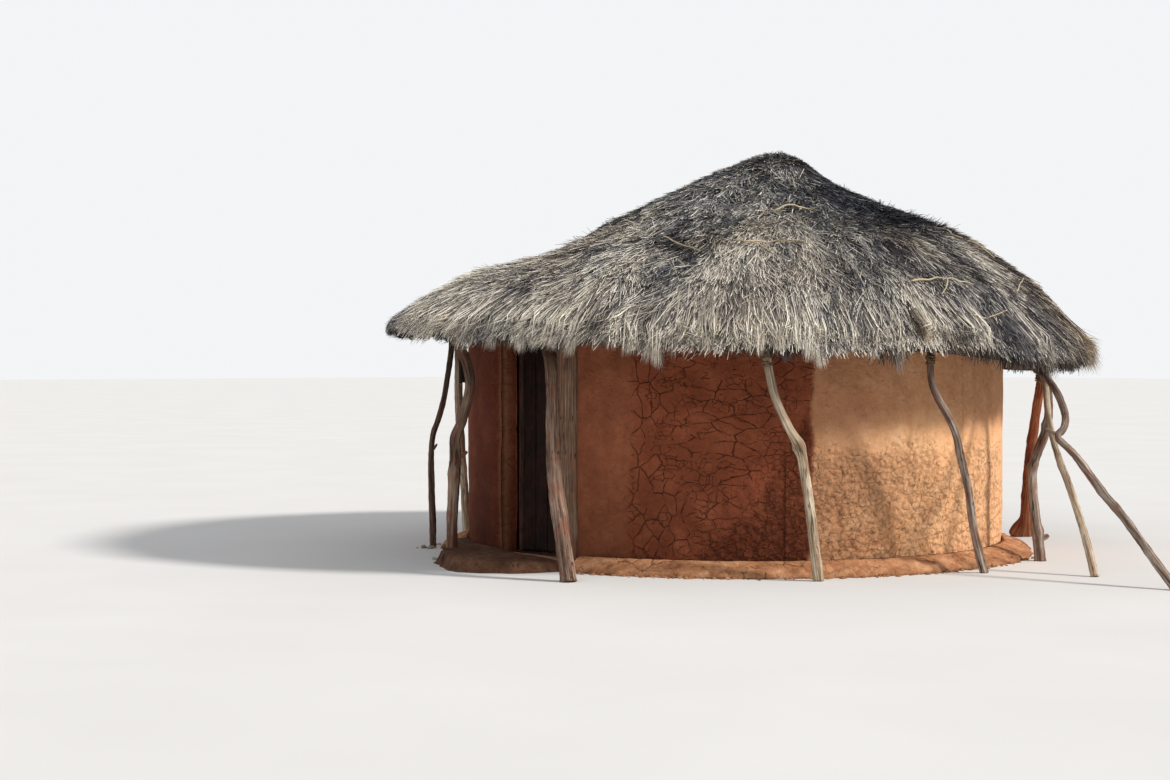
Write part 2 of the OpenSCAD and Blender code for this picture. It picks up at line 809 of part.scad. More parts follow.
module door_jamb() {
    color(old_wood)
        translate([jamb_x, jamb_out_y, floor_t])
            cube([jamb_w, jamb_in_y - jamb_out_y, door_top - floor_t]);
}

module in_leaf() {
    translate([stile_x, stile_y, 0])
        rotate([0, 0, door_ajar])
            children();
}

module door_stile() {
    pin_gap = 2;
    color(dark_wood)
        in_leaf() {
            translate([0, 0, leaf_low])
                cylinder(h = leaf_high - leaf_low, d = stile_d, $fn = stick_fn);
            translate([0, 0, floor_t - pin_l + pin_gap])
                cylinder(h = door_top - floor_t + 2 * (pin_l - pin_gap), d = pin_d, $fn = stick_fn);
        }
}

plank_gap = 4;
plank_drop = 6;

module door_planks() {
    first = stile_d / 2 + seat;
    w = (leaf_w - first + plank_gap) / planks;
    color(dark_wood)
        in_leaf()
            for (i = [0 : planks - 1])
                translate([first + i * w, -plank_t / 2, leaf_low + plank_drop * (i % 2)])
                    cube([w - plank_gap, plank_t, leaf_high - leaf_low - 2 * plank_drop]);
}

ledge_w = 90;
ledge_t = 26;

module door_ledges() {
    from = stile_d / 2 + 10;
    color(dark_wood)
        in_leaf()
            for (f = [0.14, 0.5, 0.84])
                translate([from, plank_t / 2, blend(leaf_low, leaf_high, f) - ledge_w / 2])
                    cube([leaf_w - from - 10, ledge_t, ledge_w]);
}

plinth();
floor();
threshold();
wall_sector(0);  // wall_1
wall_sector(1);  // wall_2
wall_sector(2);  // wall_3
wall_sector(3);  // wall_4
wall_sector(4);  // wall_5
wall_sector(5);  // wall_6
wall_sector(6);  // wall_7
wall_sector(7);  // wall_8
wall_over_door();
door_sill();
door_lintel();
door_jamb();
door_stile();
door_planks();
door_ledges();
post_left();
post_doorway();
post_front();
post_front_right();
post_right();
post_right_back();
post_back(6, 174, 2.5, 1);  // post_back_1
post_back(7, 202, 2.3, -1);  // post_back_2
post_back(8, 238, 2.6, 1);  // post_back_3
post_back(9, 264, 2.3, -1);  // post_back_4
post_left_back();
post_left_thin();
prop_right_near();
prop_right_far();
eave_beams();
rafter_beds();
rafters();
battens();
crown_hoop();
thatch_course(4, pale_grass);  // thatch_eave
thatch_course(3, grass);  // thatch_lower
thatch_course(2, grass);  // thatch_middle
thatch_course(1, grass);  // thatch_upper
thatch_cap();
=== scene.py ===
import itertools
import math

import bmesh
import bpy
import numpy as np
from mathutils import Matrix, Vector
from mathutils.bvhtree import BVHTree


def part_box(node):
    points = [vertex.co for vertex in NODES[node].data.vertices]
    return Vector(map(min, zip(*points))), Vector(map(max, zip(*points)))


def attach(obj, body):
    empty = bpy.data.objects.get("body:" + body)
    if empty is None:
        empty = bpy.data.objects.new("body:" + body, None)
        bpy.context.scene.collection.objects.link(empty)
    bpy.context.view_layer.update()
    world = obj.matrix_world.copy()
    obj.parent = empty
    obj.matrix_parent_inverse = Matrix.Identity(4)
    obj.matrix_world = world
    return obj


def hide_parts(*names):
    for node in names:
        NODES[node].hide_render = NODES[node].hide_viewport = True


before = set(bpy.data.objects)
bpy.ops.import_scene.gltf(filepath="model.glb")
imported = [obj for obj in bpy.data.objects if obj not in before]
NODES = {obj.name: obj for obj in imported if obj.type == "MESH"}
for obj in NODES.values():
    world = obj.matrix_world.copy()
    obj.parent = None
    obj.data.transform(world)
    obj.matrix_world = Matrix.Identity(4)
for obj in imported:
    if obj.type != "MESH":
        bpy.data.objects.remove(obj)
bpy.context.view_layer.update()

# Real sizes of the hut, in metres, as in part.scad. A bearing is in degrees from the
# doorway, anticlockwise seen from above.
WALL_R = 2.29
WALL_T = 0.2
WALL_H = 1.85
FALL = 0.055
FALL_BEARING = 138.0
SECTORS = 8
DOOR_HALF = 0.475
DOOR_BEARING = math.degrees(math.asin(DOOR_HALF / WALL_R))
DOOR_PIVOT = (-0.427, -2.015867)
DOOR_AJAR = math.radians(6)
PLANKS = 5
PLANK_T = 0.028
PLANKS_FROM, PLANKS_TO = 0.0303, 0.687
BENCH_H = 0.11
BENCH_W = 0.24
BENCH_FROM = DOOR_BEARING + 2
BANK_FROM = -36.0
CROWN_SHIFT = 0.39
CROWN = CROWN_SHIFT * np.array([math.sin(math.radians(FALL_BEARING)), -math.cos(math.radians(FALL_BEARING))])
BEAM_R = 2.74
BEAM_BELOW = 0.155
EAVE_R = 3.0
COURSES = ("thatch_cap", "thatch_upper", "thatch_middle", "thatch_lower", "thatch_eave")

# The photograph's camera: focal length and picture width in pixels, how far the horizon is
# above the middle, where it stands, which way it looks and which way is right for it.
FOCAL_PX = 1900
PICTURE_PX = 1170
HORIZON_PX = 28
CAMERA_AT = (11.488, -11.913, 1.6)
FORWARD = (-0.7478, 0.6639, 0)
RIGHT = (0.6639, 0.7478, 0)

# How closely the wall's sectors are cut, as (rows, columns): those in the photograph's
# middle, the others, and every inner face.
SEEN_SECTORS = (1, 2)
SEEN_CUT = (98, 98)
PLAIN_CUT = (56, 60)
INNER_CUT = (24, 28)
SIDE_CUT = 14
TOP_GAP = 0.004


# Numbers

def hashed(ix, iy, iz, seed):
    """Repeatable numbers from 0 to 1 for whole-number places."""
    h = (ix * 374761393 + iy * 668265263 + iz * 1274126177 + seed * 2654435761) & 0xFFFFFFFF
    h = ((h ^ (h >> 13)) * 1103515245) & 0xFFFFFFFF
    h = ((h ^ (h >> 16)) * 2246822519) & 0xFFFFFFFF
    return (h ^ (h >> 15)) / 4294967296.0


def noise(p, size, seed=0, octaves=1):
    """Smooth noise from -1 to 1 at points p, with lumps of the given size."""
    total = np.zeros(len(p))
    weight, sum_w = 1.0, 0.0
    for k in range(octaves):
        q = p / size * (2.0 ** k) + 1000.0
        base = np.floor(q).astype(np.int64)
        f = q - base
        f = f * f * (3 - 2 * f)
        value = np.zeros(len(p))
        for corner in itertools.product((0, 1), repeat=3):
            near = np.where(corner, f, 1 - f)
            value += near[:, 0] * near[:, 1] * near[:, 2] * hashed(*(base + corner).T, seed + 17 * k)
        total += weight * (2 * value - 1)
        sum_w += weight
        weight *= 0.5
    return total / sum_w


def step(a, b, x):
    """Smooth step from 0 at a to 1 at b."""
    t = np.clip((x - a) / (b - a), 0, 1)
    return t * t * (3 - 2 * t)


def band(a, b, c, d, x):
    """1 between b and c, with smooth steps up from a and down to d."""
    return step(a, b, x) * (1 - step(c, d, x))


def at(bearing, r, z):
    """Points at bearings in degrees, radii and heights."""
    b = np.radians(bearing)
    return np.stack(np.broadcast_arrays(r * np.sin(b), -r * np.cos(b), z), axis=-1).reshape(-1, 3)


def bearing_of(x, y):
    """Bearing of places in plan, from -180 to 180 degrees."""
    return np.degrees(np.arctan2(x, -y))


def signed(bearing):
    """The same bearing, from -180 to 180 degrees."""
    return (bearing + 180) % 360 - 180


def flat(x, y):
    """Points of the plan at height 0."""
    return np.column_stack([x, y, np.zeros(len(x))])


def crosswise(way):
    """Directions in plan, turned a quarter to the left."""
    return np.stack([-way[:, 1], way[:, 0]], 1)


def unit(v, least):
    return v / np.maximum(np.linalg.norm(v, axis=1, keepdims=True), least)


def top_at(bearing, r):
    """Height of the wall's sloping top."""
    return WALL_H - FALL * r * np.cos(np.radians(bearing - FALL_BEARING))


def wall_top(p):
    return top_at(bearing_of(p[:, 0], p[:, 1]), np.hypot(p[:, 0], p[:, 1]))


# Meshes

def add_piece(name, mesh, material, body, replaces):
    """Puts a mesh into the scene as one piece of the part."""
    mesh.materials.clear()
    mesh.materials.append(material)
    obj = bpy.data.objects.new(name, mesh)
    bpy.context.scene.collection.objects.link(obj)
    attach(obj, body)
    if replaces:
        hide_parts(*replaces)


def build(name, verts, faces, material, body="hut", replaces=(), smooth=True, tint=None, uv=None):
    """Makes one piece from arrays. faces is a list of index arrays, each of faces with one corner count."""
    mesh = bpy.data.meshes.new(name)
    faces = [np.asarray(f, np.int32) for f in faces]
    corners = np.concatenate([f.ravel() for f in faces])
    counts = np.concatenate([np.full(len(f), f.shape[1], np.int32) for f in faces])
    starts = np.concatenate([[0], np.cumsum(counts)[:-1]]).astype(np.int32)
    mesh.vertices.add(len(verts))
    mesh.vertices.foreach_set("co", np.asarray(verts, np.float32).ravel())
    mesh.loops.add(len(corners))
    mesh.loops.foreach_set("vertex_index", corners)
    mesh.polygons.add(len(counts))
    mesh.polygons.foreach_set("loop_start", starts)
    mesh.update(calc_edges=True)
    mesh.validate()
    mesh.polygons.foreach_set("use_smooth", np.full(len(mesh.polygons), smooth))
    if tint is not None:
        layer = mesh.attributes.new("tint", "FLOAT_COLOR", "POINT")
        colour = np.column_stack([tint, np.ones(len(verts))]).astype(np.float32)
        layer.data.foreach_set("color", colour.ravel())
    if uv is not None:
        layer = mesh.uv_layers.new(name="UVMap")
        layer.data.foreach_set("uv", np.asarray(uv, np.float32)[corners].ravel())
    add_piece(name, mesh, material, body, replaces)


def grid_faces(rows, cols, closed=False, start=0, flip=False):
    """Quads of a grid of points that runs row by row. A closed one also joins its last and first columns."""
    i, j = np.meshgrid(np.arange(rows - 1), np.arange(cols if closed else cols - 1), indexing="ij")
    near, far = i.ravel() * cols + start, (i.ravel() + 1) * cols + start
    j = j.ravel()
    after = (j + 1) % cols
    quads = np.stack([near + j, near + after, far + after, far + j], 1)
    return quads[:, ::-1] if flip else quads


def fan(hub, line, flip):
    """Triangles from one point to each stretch of a line of points."""
    tris = np.stack([np.full(len(line) - 1, hub), line[:-1], line[1:]], 1)
    return tris[:, ::-1] if flip else tris


def bridge(a, b, flip):
    """Triangles between two rows of points with different counts."""
    i = j = 0
    out = []
    while i < len(a) - 1 or j < len(b) - 1:
        if j == len(b) - 1 or (i < len(a) - 1 and (i + 1) / (len(a) - 1) <= (j + 1) / (len(b) - 1)):
            out.append((a[i], a[i + 1], b[j]))
            i += 1
        else:
            out.append((a[i], b[j + 1], b[j]))
            j += 1
    out = np.array(out)
    return out if flip else out[:, ::-1]


def joined(parts):
    """One mesh from several (points, faces, values of the points)."""
    verts, faces, values, count = [], [], [], 0
    for p, own_faces, own_values in parts:
        verts.append(p)
        values.append(own_values)
        faces += [f + count for f in own_faces]
        count += len(p)
    return np.concatenate(verts), faces, np.concatenate(values)


def cad_faces(nodes):
    """Points and triangles of CAD nodes, as one mesh."""
    verts, tris, count = [], [], 0
    for name in nodes:
        mesh = NODES[name].data
        mesh.calc_loop_triangles()
        co = np.zeros(len(mesh.vertices) * 3)
        mesh.vertices.foreach_get("co", co)
        tri = np.zeros(len(mesh.loop_triangles) * 3, np.int32)
        mesh.loop_triangles.foreach_get("vertices", tri)
        verts.append(co.reshape(-1, 3))
        tris.append(tri.reshape(-1, 3) + count)
        count += len(verts[-1])
    return np.concatenate(verts), np.concatenate(tris)


def cad_tree(nodes):
    verts, tris = cad_faces(nodes)
    return BVHTree.FromPolygons([Vector(v) for v in verts], tris.tolist())


def height_below(tree, x, y, from_z):
    """Height at which a ray straight down meets the tree, or None."""
    hit = tree.ray_cast(Vector((x, y, from_z)), Vector((0, 0, -1)))[0]
    return None if hit is None else hit.z


# Materials

class Nodes:
    """A material's node tree, written in few words."""

    def __init__(self, name, roughness=0.9, specular=0.2):
        self.mat = bpy.data.materials.new(name)
        self.mat.use_nodes = True
        self.tree = self.mat.node_tree
        self.bsdf = self.tree.nodes["Principled BSDF"]
        self.bsdf.inputs["Roughness"].default_value = roughness
        self.bsdf.inputs["Specular IOR Level"].default_value = specular

    def put(self, socket, value):
        if isinstance(value, bpy.types.NodeSocket):
            self.tree.links.new(value, socket)
        else:
            socket.default_value = value

    def add(self, kind, out=0, inputs=None, **props):
        node = self.tree.nodes.new("ShaderNode" + kind)
        for key, value in props.items():
            setattr(node, key, value)
        for key, value in (inputs or {}).items():
            self.put(node.inputs[key], value)
        return node.outputs[out]

    def place(self):
        return self.add("TexCoord", "Object")

    def axis(self, vector, name):
        return self.add("SeparateXYZ", name, {"Vector": vector})

    def scaled(self, vector, scale):
        return self.add("Mapping", inputs={"Vector": vector, "Scale": scale})

    def noise(self, vector, scale, detail=4.0, rough=0.55, out="Fac", distortion=0.0):
        return self.add("TexNoise", out, {"Vector": vector, "Scale": scale, "Detail": detail,
                                          "Roughness": rough, "Distortion": distortion})

    def shifted(self, vector, *moves):
        """The place moved a little by noise of each (scale, amount), so that patterns wander."""
        for scale, amount in moves:
            wander = self.noise(vector, scale, 3.0, out="Color")
            away = self.add("VectorMath", 0, {0: wander, 1: (0.5, 0.5, 0.5)}, operation="SUBTRACT")
            away = self.add("VectorMath", 0, {0: away, "Scale": amount}, operation="SCALE")
            vector = self.add("VectorMath", 0, {0: vector, 1: away}, operation="ADD")
        return vector

    def unwrapped(self):
        """The place on the round wall as distance along it and height, in metres."""
        x, y, z = (self.axis(self.place(), name) for name in "XYZ")
        turn = self.math("ARCTAN2", x, self.times(y, -1.0))
        return self.add("CombineXYZ", 0, {"X": self.times(turn, WALL_R), "Y": z})

    def edges(self, vector, scale):
        """Distance to the borders of cells in the plane of the vector's first two numbers."""
        return self.add("TexVoronoi", "Distance", {"Vector": vector, "Scale": scale, "Randomness": 1.0},
                        feature="DISTANCE_TO_EDGE", voronoi_dimensions="2D")

    def ramp(self, value, low, high, a=0.0, b=1.0):
        return self.add("MapRange", "Result", {"Value": value, "From Min": low, "From Max": high,
                                               "To Min": a, "To Max": b}, interpolation_type="SMOOTHSTEP")

    def math(self, operation, first, *others, clamp=False):
        """The operation on all the values, from left to right."""
        for other in others:
            first = self.add("Math", 0, {0: first, 1: other}, operation=operation, use_clamp=clamp)
        return first

    def times(self, *values):
        return self.math("MULTIPLY", *values)

    def plus(self, *values):
        return self.math("ADD", *values)

    def minus(self, *values):
        return self.math("SUBTRACT", *values)

    def mix(self, fac, a, b, blend="MIX"):
        node = self.tree.nodes.new("ShaderNodeMix")
        node.data_type = "RGBA"
        node.blend_type = blend
        self.put(node.inputs["Factor"], fac)
        self.put(node.inputs["A"], a)
        self.put(node.inputs["B"], b)
        return node.outputs["Result"]

    def darkened(self, fac, colour, by):
        return self.mix(fac, colour, by, "MULTIPLY")

    def colours(self, value, *stops):
        """A colour by value, from stops of (value, colour)."""
        node = self.tree.nodes.new("ShaderNodeValToRGB")
        ramp = node.color_ramp
        while len(ramp.elements) < len(stops):
            ramp.elements.new(0.5)
        for element, (place, colour) in zip(ramp.elements, stops):
            element.position = place
            element.color = (*colour, 1)
        self.put(node.inputs["Fac"], value)
        return node.outputs["Color"]

    def speckles(self, value, low, dark, high):
        """A factor that goes from dark at low to white at high."""
        return self.colours(value, (low, dark), (high, (1, 1, 1)))

    def tint(self):
        """The three values that the mesh gives each point."""
        node = self.tree.nodes.new("ShaderNodeSeparateColor")
        self.put(node.inputs[0], self.add("Attribute", "Color", attribute_name="tint"))
        return node.outputs[0], node.outputs[1], node.outputs[2]

    def bump(self, height, distance, strength=1.0, under=None):
        inputs = {"Height": height, "Distance": distance, "Strength": strength}
        if under is not None:
            inputs["Normal"] = under
        return self.add("Bump", "Normal", inputs)

    def finish(self, colour, normal=None, roughness=None):
        for name, value in (("Base Color", colour), ("Normal", normal), ("Roughness", roughness)):
            if value is not None:
                self.put(self.bsdf.inputs[name], value)
        return self.mat


def srgb(r, g, b):
    """A colour from the values 0 to 255 of a picture."""
    return tuple((c / 255 / 12.92) if c <= 10 else ((c / 255 + 0.055) / 1.055) ** 2.4 for c in (r, g, b))


def shade_of(colour, *shares):
    """A darker colour with full alpha. One share is for all three values."""
    return (*(c * s for c, s in zip(colour, shares * 3 if len(shares) == 1 else shares)), 1)


def thatch_strands():
    """Dry grass: each straw's grey and its warmth come with the mesh."""
    n = Nodes("grass_strands", roughness=0.75, specular=0.25)
    light, warmth, _ = n.tint()
    # The grey's bluish dark end is painted sky-lit shade in the gaps between the straws.
    grey = n.colours(light, (0.0, srgb(20, 24, 36)), (0.3, srgb(92, 99, 112)),
                     (0.62, srgb(190, 188, 180)), (1.0, srgb(255, 250, 238)))
    warm = n.colours(light, (0.0, srgb(54, 42, 32)), (0.35, srgb(140, 116, 88)),
                     (0.7, srgb(204, 180, 146)), (1.0, srgb(244, 230, 204)))
    streak = n.noise(n.scaled(n.place(), (60, 60, 22)), 1.0, 2.0)
    speckled = n.speckles(streak, 0.3, (0.25, 0.25, 0.26), 0.75)
    return n.finish(n.darkened(0.22, n.mix(warmth, grey, warm), speckled))


def thatch_bed():
    """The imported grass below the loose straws."""
    n = Nodes("grass_bed", roughness=0.95, specular=0.1)
    place = n.place()
    fine = n.noise(n.scaled(place, (70, 70, 24)), 1.0, 5.0, 0.7, distortion=0.4)
    lumps = n.noise(place, 7.0, 4.0)
    colour = n.colours(fine, (0.3, srgb(26, 25, 27)), (0.5, srgb(66, 65, 64)), (0.72, srgb(112, 108, 100)))
    hollow = n.darkened(0.5, colour, (*srgb(40, 36, 33), 1))
    return n.finish(n.mix(n.ramp(lumps, 0.35, 0.65), hollow, colour), n.bump(fine, 0.02, 0.9))


def daub_cracks(n, place, flat_place, along):
    """Cracks of the mud: upright near the doorway's side, flatter farther on, small ones between."""
    wavy = n.shifted(flat_place, (4.0, 0.08), (13.0, 0.04), (40.0, 0.009))

    def crack_lines(stretch, scale, width, mask_scale, mask_from):
        """Borders of stretched cells, of uneven width and broken into stretches."""
        off = n.edges(n.scaled(wavy, stretch), scale)
        wide = n.times(n.noise(place, 11.0, 2.0), width)
        line = n.math("SUBTRACT", 1.0, n.math("DIVIDE", off, wide), clamp=True)
        mask = n.ramp(n.noise(place, mask_scale, 3.0), mask_from, mask_from + 0.05)
        return n.times(n.math("POWER", line, 0.7), mask)

    farther = n.ramp(n.plus(along, n.noise(place, 3.0, 2.0)), 1.78, 1.92)
    upright = n.times(crack_lines((1, 0.7, 1), 9.0, 0.07, 4.5, 0.4), n.ramp(farther, 0, 1, 1, 0))
    lying = n.times(crack_lines((0.5, 1.15, 1), 10.0, 0.065, 3.5, 0.42), farther)
    small = n.times(crack_lines((0.8, 1, 1), 19.0, 0.09, 6.0, 0.5), 0.8)
    return n.math("MAXIMUM", lying, upright, small)


def daub_seams(n, place, flat_place, pitted, pale):
    """Seams between the plates of crumbled mud."""
    plates = n.scaled(n.shifted(flat_place, (9.0, 0.05), (45.0, 0.01)), (1, 1.25, 1))
    broken = n.ramp(n.noise(place, 8.0, 3.0), 0.4, 0.55)
    bare = n.ramp(pale, 0.1, 0.6, 1, 0)
    return n.times(n.ramp(n.edges(plates, 13.0), 0.0, 0.09, 1, 0), broken, pitted, bare)


def daub_plain(n, place, flat_place, along, pale, blotch):
    """Colour of the whole mud: ruddy or pale, streaked by rain, darker low down, with painted shade left of
    the doorway.
    """
    # The ruddy colours are darkened partly as painted shade, and the pale ones are partly painted sunlight.
    ruddy = n.colours(blotch, (0.25, srgb(118, 61, 40)), (0.5, srgb(138, 75, 50)), (0.75, srgb(158, 92, 64)))
    light = n.colours(blotch, (0.25, srgb(232, 172, 124)), (0.55, srgb(244, 190, 142)),
                      (0.8, srgb(252, 208, 162)))
    run = n.noise(n.scaled(place, (9, 9, 1.1)), 1.0, 4.0)
    colour = n.darkened(0.3, n.mix(pale, ruddy, light), n.speckles(run, 0.3, (0.6, 0.56, 0.53), 0.7))
    from_centre = n.add("VectorMath", "Value", {0: n.scaled(place, (1, 1, 0))}, operation="LENGTH")
    outer_face = n.ramp(from_centre, 2.2, 2.24)
    # Painted shade on the outer face left of the doorway, which stops at the reveal.
    painted_shade_left = n.times(n.ramp(along, -1.5, -0.9), n.ramp(along, -0.46, -0.4, 1, 0), outer_face)
    colour = n.darkened(n.times(painted_shade_left, 0.9), colour, (0.5, 0.44, 0.46, 1))
    low = n.times(n.ramp(n.axis(flat_place, "Y"), 0.15, 1.1, 0.5, 0.0), n.ramp(pale, 0.05, 0.4, 1, 0))
    return n.darkened(low, colour, (0.42, 0.42, 0.42, 1))


def daub():
    """Red mud plaster. The mesh says how cracked, how pitted and how smooth and pale each place is."""
    n = Nodes("mud_daub", roughness=0.95, specular=0.12)
    cracked, pitted, pale = n.tint()
    place = n.place()
    flat_place = n.unwrapped()
    along = n.axis(flat_place, "X")
    cracks = n.times(daub_cracks(n, place, flat_place, along), cracked)
    seams = daub_seams(n, place, flat_place, pitted, pale)
    grit = n.noise(place, 75.0, 5.0, 0.7)
    blotch = n.noise(place, 4.5, 6.0, 0.65)
    fine = n.shifted(place, (20.0, 0.03))
    clods = n.add("TexVoronoi", "Distance", {"Vector": fine, "Scale": 19.0, "Smoothness": 0.35},
                  feature="SMOOTH_F1")
    crumbs = n.noise(fine, 34.0, 5.0, 0.7)
    # Pits in the mud; the dark colour in them below is painted shade.
    pits_shaded = n.times(n.ramp(n.noise(fine, 26.0, 3.0, 0.6), 0.33, 0.42, 1, 0), pitted)

    colour = daub_plain(n, place, flat_place, along, pale, blotch)
    colour = n.darkened(0.3, colour, n.speckles(grit, 0.3, (0.5, 0.46, 0.44), 0.65))
    # The dark hollows between the crumbs are painted shade.
    crumbled = n.colours(crumbs, (0.32, (0.5, 0.42, 0.38)), (0.55, (0.92, 0.88, 0.85)), (0.75, (1, 1, 1)))
    colour = n.darkened(n.times(pitted, 0.55), colour, crumbled)
    dark, darkest = (*srgb(64, 34, 24), 1), (*srgb(40, 20, 14), 1)
    # The dark colour in the pits is painted shade; seams and cracks are the mud's own dark joints.
    for share, marks, inside in ((0.6, seams, dark), (0.3, pits_shaded, dark), (0.75, cracks, darkest)):
        colour = n.mix(n.times(marks, share), colour, inside)

    broad = n.minus(n.times(blotch, 0.5), n.times(clods, pitted, 1.3), n.times(pits_shaded, 0.5),
                    n.times(seams, 0.5))
    small = n.minus(n.plus(n.times(grit, 0.3), n.times(crumbs, pitted, 2.4)), n.times(cracks, 0.9))
    return n.finish(colour, n.bump(small, 0.011, under=n.bump(broad, 0.045)))


def dry_earth(name, low, mid, high, crumbly=0.3, unshaded_foot=1.0):
    """Trodden or crumbled earth, with painted shade at its foot. Its colours are of hollows, middle and
    lumps.
    """
    low, mid, high = srgb(*low), srgb(*mid), srgb(*high)
    n = Nodes(name, roughness=0.96, specular=0.1)
    place = n.place()
    bent = n.shifted(place, (16.0, 0.05))
    lumps = n.noise(place, 7.0, 6.0, 0.65)
    grit = n.noise(place, 80.0, 4.0, 0.7)
    crumbs = n.noise(bent, 26.0, 5.0, 0.7)
    hollow = n.times(n.ramp(crumbs, 0.36, 0.47, 1, 0), n.ramp(n.noise(place, 5.0, 3.0), 0.42, 0.6))
    crack = n.times(n.ramp(n.edges(bent, 5.0), 0.008, 0.03, 1, 0),
                    n.ramp(n.noise(place, 3.0, 2.0), 0.54, 0.6))
    above = n.plus(n.axis(place, "Z"), n.times(lumps, 0.07))
    colour = n.colours(lumps, (0.28, low), (0.5, mid), (0.74, high))
    colour = n.darkened(0.35, colour, n.speckles(grit, 0.3, (0.45, 0.42, 0.4), 0.62))
    # The last mark is painted shade at the foot.
    for marks in (n.times(hollow, crumbly), n.times(crack, 0.7), n.ramp(above, 0.04, 0.1, 1 - unshaded_foot, 0)):
        colour = n.mix(marks, colour, shade_of(low, 0.35, 0.32, 0.3))
    height = n.minus(n.plus(lumps, n.times(crumbs, 1.2)), n.times(crack, 0.5))
    return n.finish(colour, n.bump(grit, 0.003, under=n.bump(height, 0.02)))


def weathered_wood(name, dark, mid, light, across=70, along=2.6, unrolled=True, red=0.25, smoke_and_shade=0.0):
    """Split and weathered wood. Its grain runs along the UV map's second direction, or the height."""
    dark, mid, light = srgb(*dark), srgb(*mid), srgb(*light)
    n = Nodes(name, roughness=0.85, specular=0.2)
    place = n.place()
    bent = n.shifted(n.add("TexCoord", "UV") if unrolled else place, (9.0, 0.012))
    stretch = (across, along, 1) if unrolled else (across, across, along)
    longer = tuple(s * 0.3 if s > 5 else s * 0.45 for s in stretch)
    grain = n.noise(n.scaled(bent, stretch), 1.0, 7.0, 0.7, distortion=0.2)
    broad = n.noise(place, 4.0, 4.0)
    split = n.noise(n.scaled(bent, longer), 1.0, 3.0, 0.55)
    cracks = n.times(n.ramp(n.math("PINGPONG", n.times(split, 4.0), 0.5), 0.01, 0.05, 1, 0),
                     n.ramp(n.noise(place, 6.0, 2.0), 0.4, 0.55))
    ruddy = n.ramp(n.noise(place, 7.0, 3.0), 0.45, 0.62, 0, red)
    # Darker and browner towards the top: partly soot, partly painted shade under the eave.
    soot_and_shade = n.times(n.ramp(n.axis(place, "Z"), 0.7, 1.75, 0, smoke_and_shade), n.ramp(broad, 0.25, 0.6, 1.0, 0.6))
    colour = n.colours(grain, (0.3, dark), (0.47, mid), (0.63, light))
    colour = n.darkened(0.55, colour, n.speckles(broad, 0.32, (0.42, 0.38, 0.35), 0.62))
    colour = n.mix(ruddy, colour, (*srgb(126, 70, 50), 1))
    colour = n.mix(soot_and_shade, colour, (*srgb(58, 36, 27), 1))
    colour = n.mix(n.times(cracks, 0.8), colour, shade_of(dark, 0.3))
    height = n.minus(grain, n.times(cracks, 0.8))
    return n.finish(colour, n.bump(height, 0.009), n.ramp(grain, 0.3, 0.7, 0.75, 0.95))


MUD = daub()
BENCH = dry_earth("bench_mud", (152, 100, 68), (196, 140, 100), (232, 180, 138), 0.85, 0.72)
# Earth whose colours are darkened as painted shade.
SHADED_BANK = dry_earth("shaded_bank_earth", (70, 47, 36), (100, 70, 53), (136, 100, 78), 0.6)
STONE = dry_earth("foot_stone", (120, 114, 106), (162, 156, 148), (196, 192, 186), 0.1)
EARTH = dry_earth("beaten_earth", (150, 104, 76), (188, 138, 102), (212, 166, 128), 0.4)
GREY_WOOD = weathered_wood("grey_wood", (54, 40, 33), (128, 108, 94), (192, 178, 162), red=0.35, smoke_and_shade=0.75)
PALE_WOOD = weathered_wood("pale_wood", (86, 66, 48), (176, 154, 126), (228, 214, 190), smoke_and_shade=0.5)
DARK_WOOD = weathered_wood("dark_post_wood", (38, 29, 24), (82, 66, 54), (128, 108, 92), smoke_and_shade=0.5)
BROWN_WOOD = weathered_wood("brown_wood", (46, 33, 27), (118, 92, 76), (172, 148, 128), red=0.45, smoke_and_shade=0.75)
RED_WOOD = weathered_wood("red_wood", (72, 38, 26), (140, 80, 52), (190, 124, 86), red=0.5)
JAMB_WOOD = weathered_wood("jamb_wood", (60, 40, 31), (120, 92, 74), (168, 140, 116), red=0.4)
# Dark old wood, darkened further as painted shade.
SHADED_DOOR_WOOD = weathered_wood("door_wood", (10, 5, 4), (28, 15, 11), (50, 31, 24), red=0.05)
FRAME_WOOD = weathered_wood("door_frame_wood", (18, 11, 8), (46, 30, 22), (78, 56, 44), 60, 3, False, 0.1)
# Dark wood, darkened further as painted shade under the eave.
SHADED_ROOF_WOOD = weathered_wood("roof_wood", (28, 19, 14), (62, 46, 34), (100, 80, 62), 14, 14, False)
STALK_WOOD = weathered_wood("stalk_wood", (150, 134, 108), (196, 178, 146), (230, 216, 188), red=0.0)
BARK = weathered_wood("bark_strip", (60, 44, 32), (120, 96, 72), (168, 144, 112), 60, 60, False)
WIRE = weathered_wood("rusty_wire", (34, 24, 20), (62, 46, 40), (92, 72, 62), 90, 90, False)
STRANDS = thatch_strands()
BED = thatch_bed()


# Wall

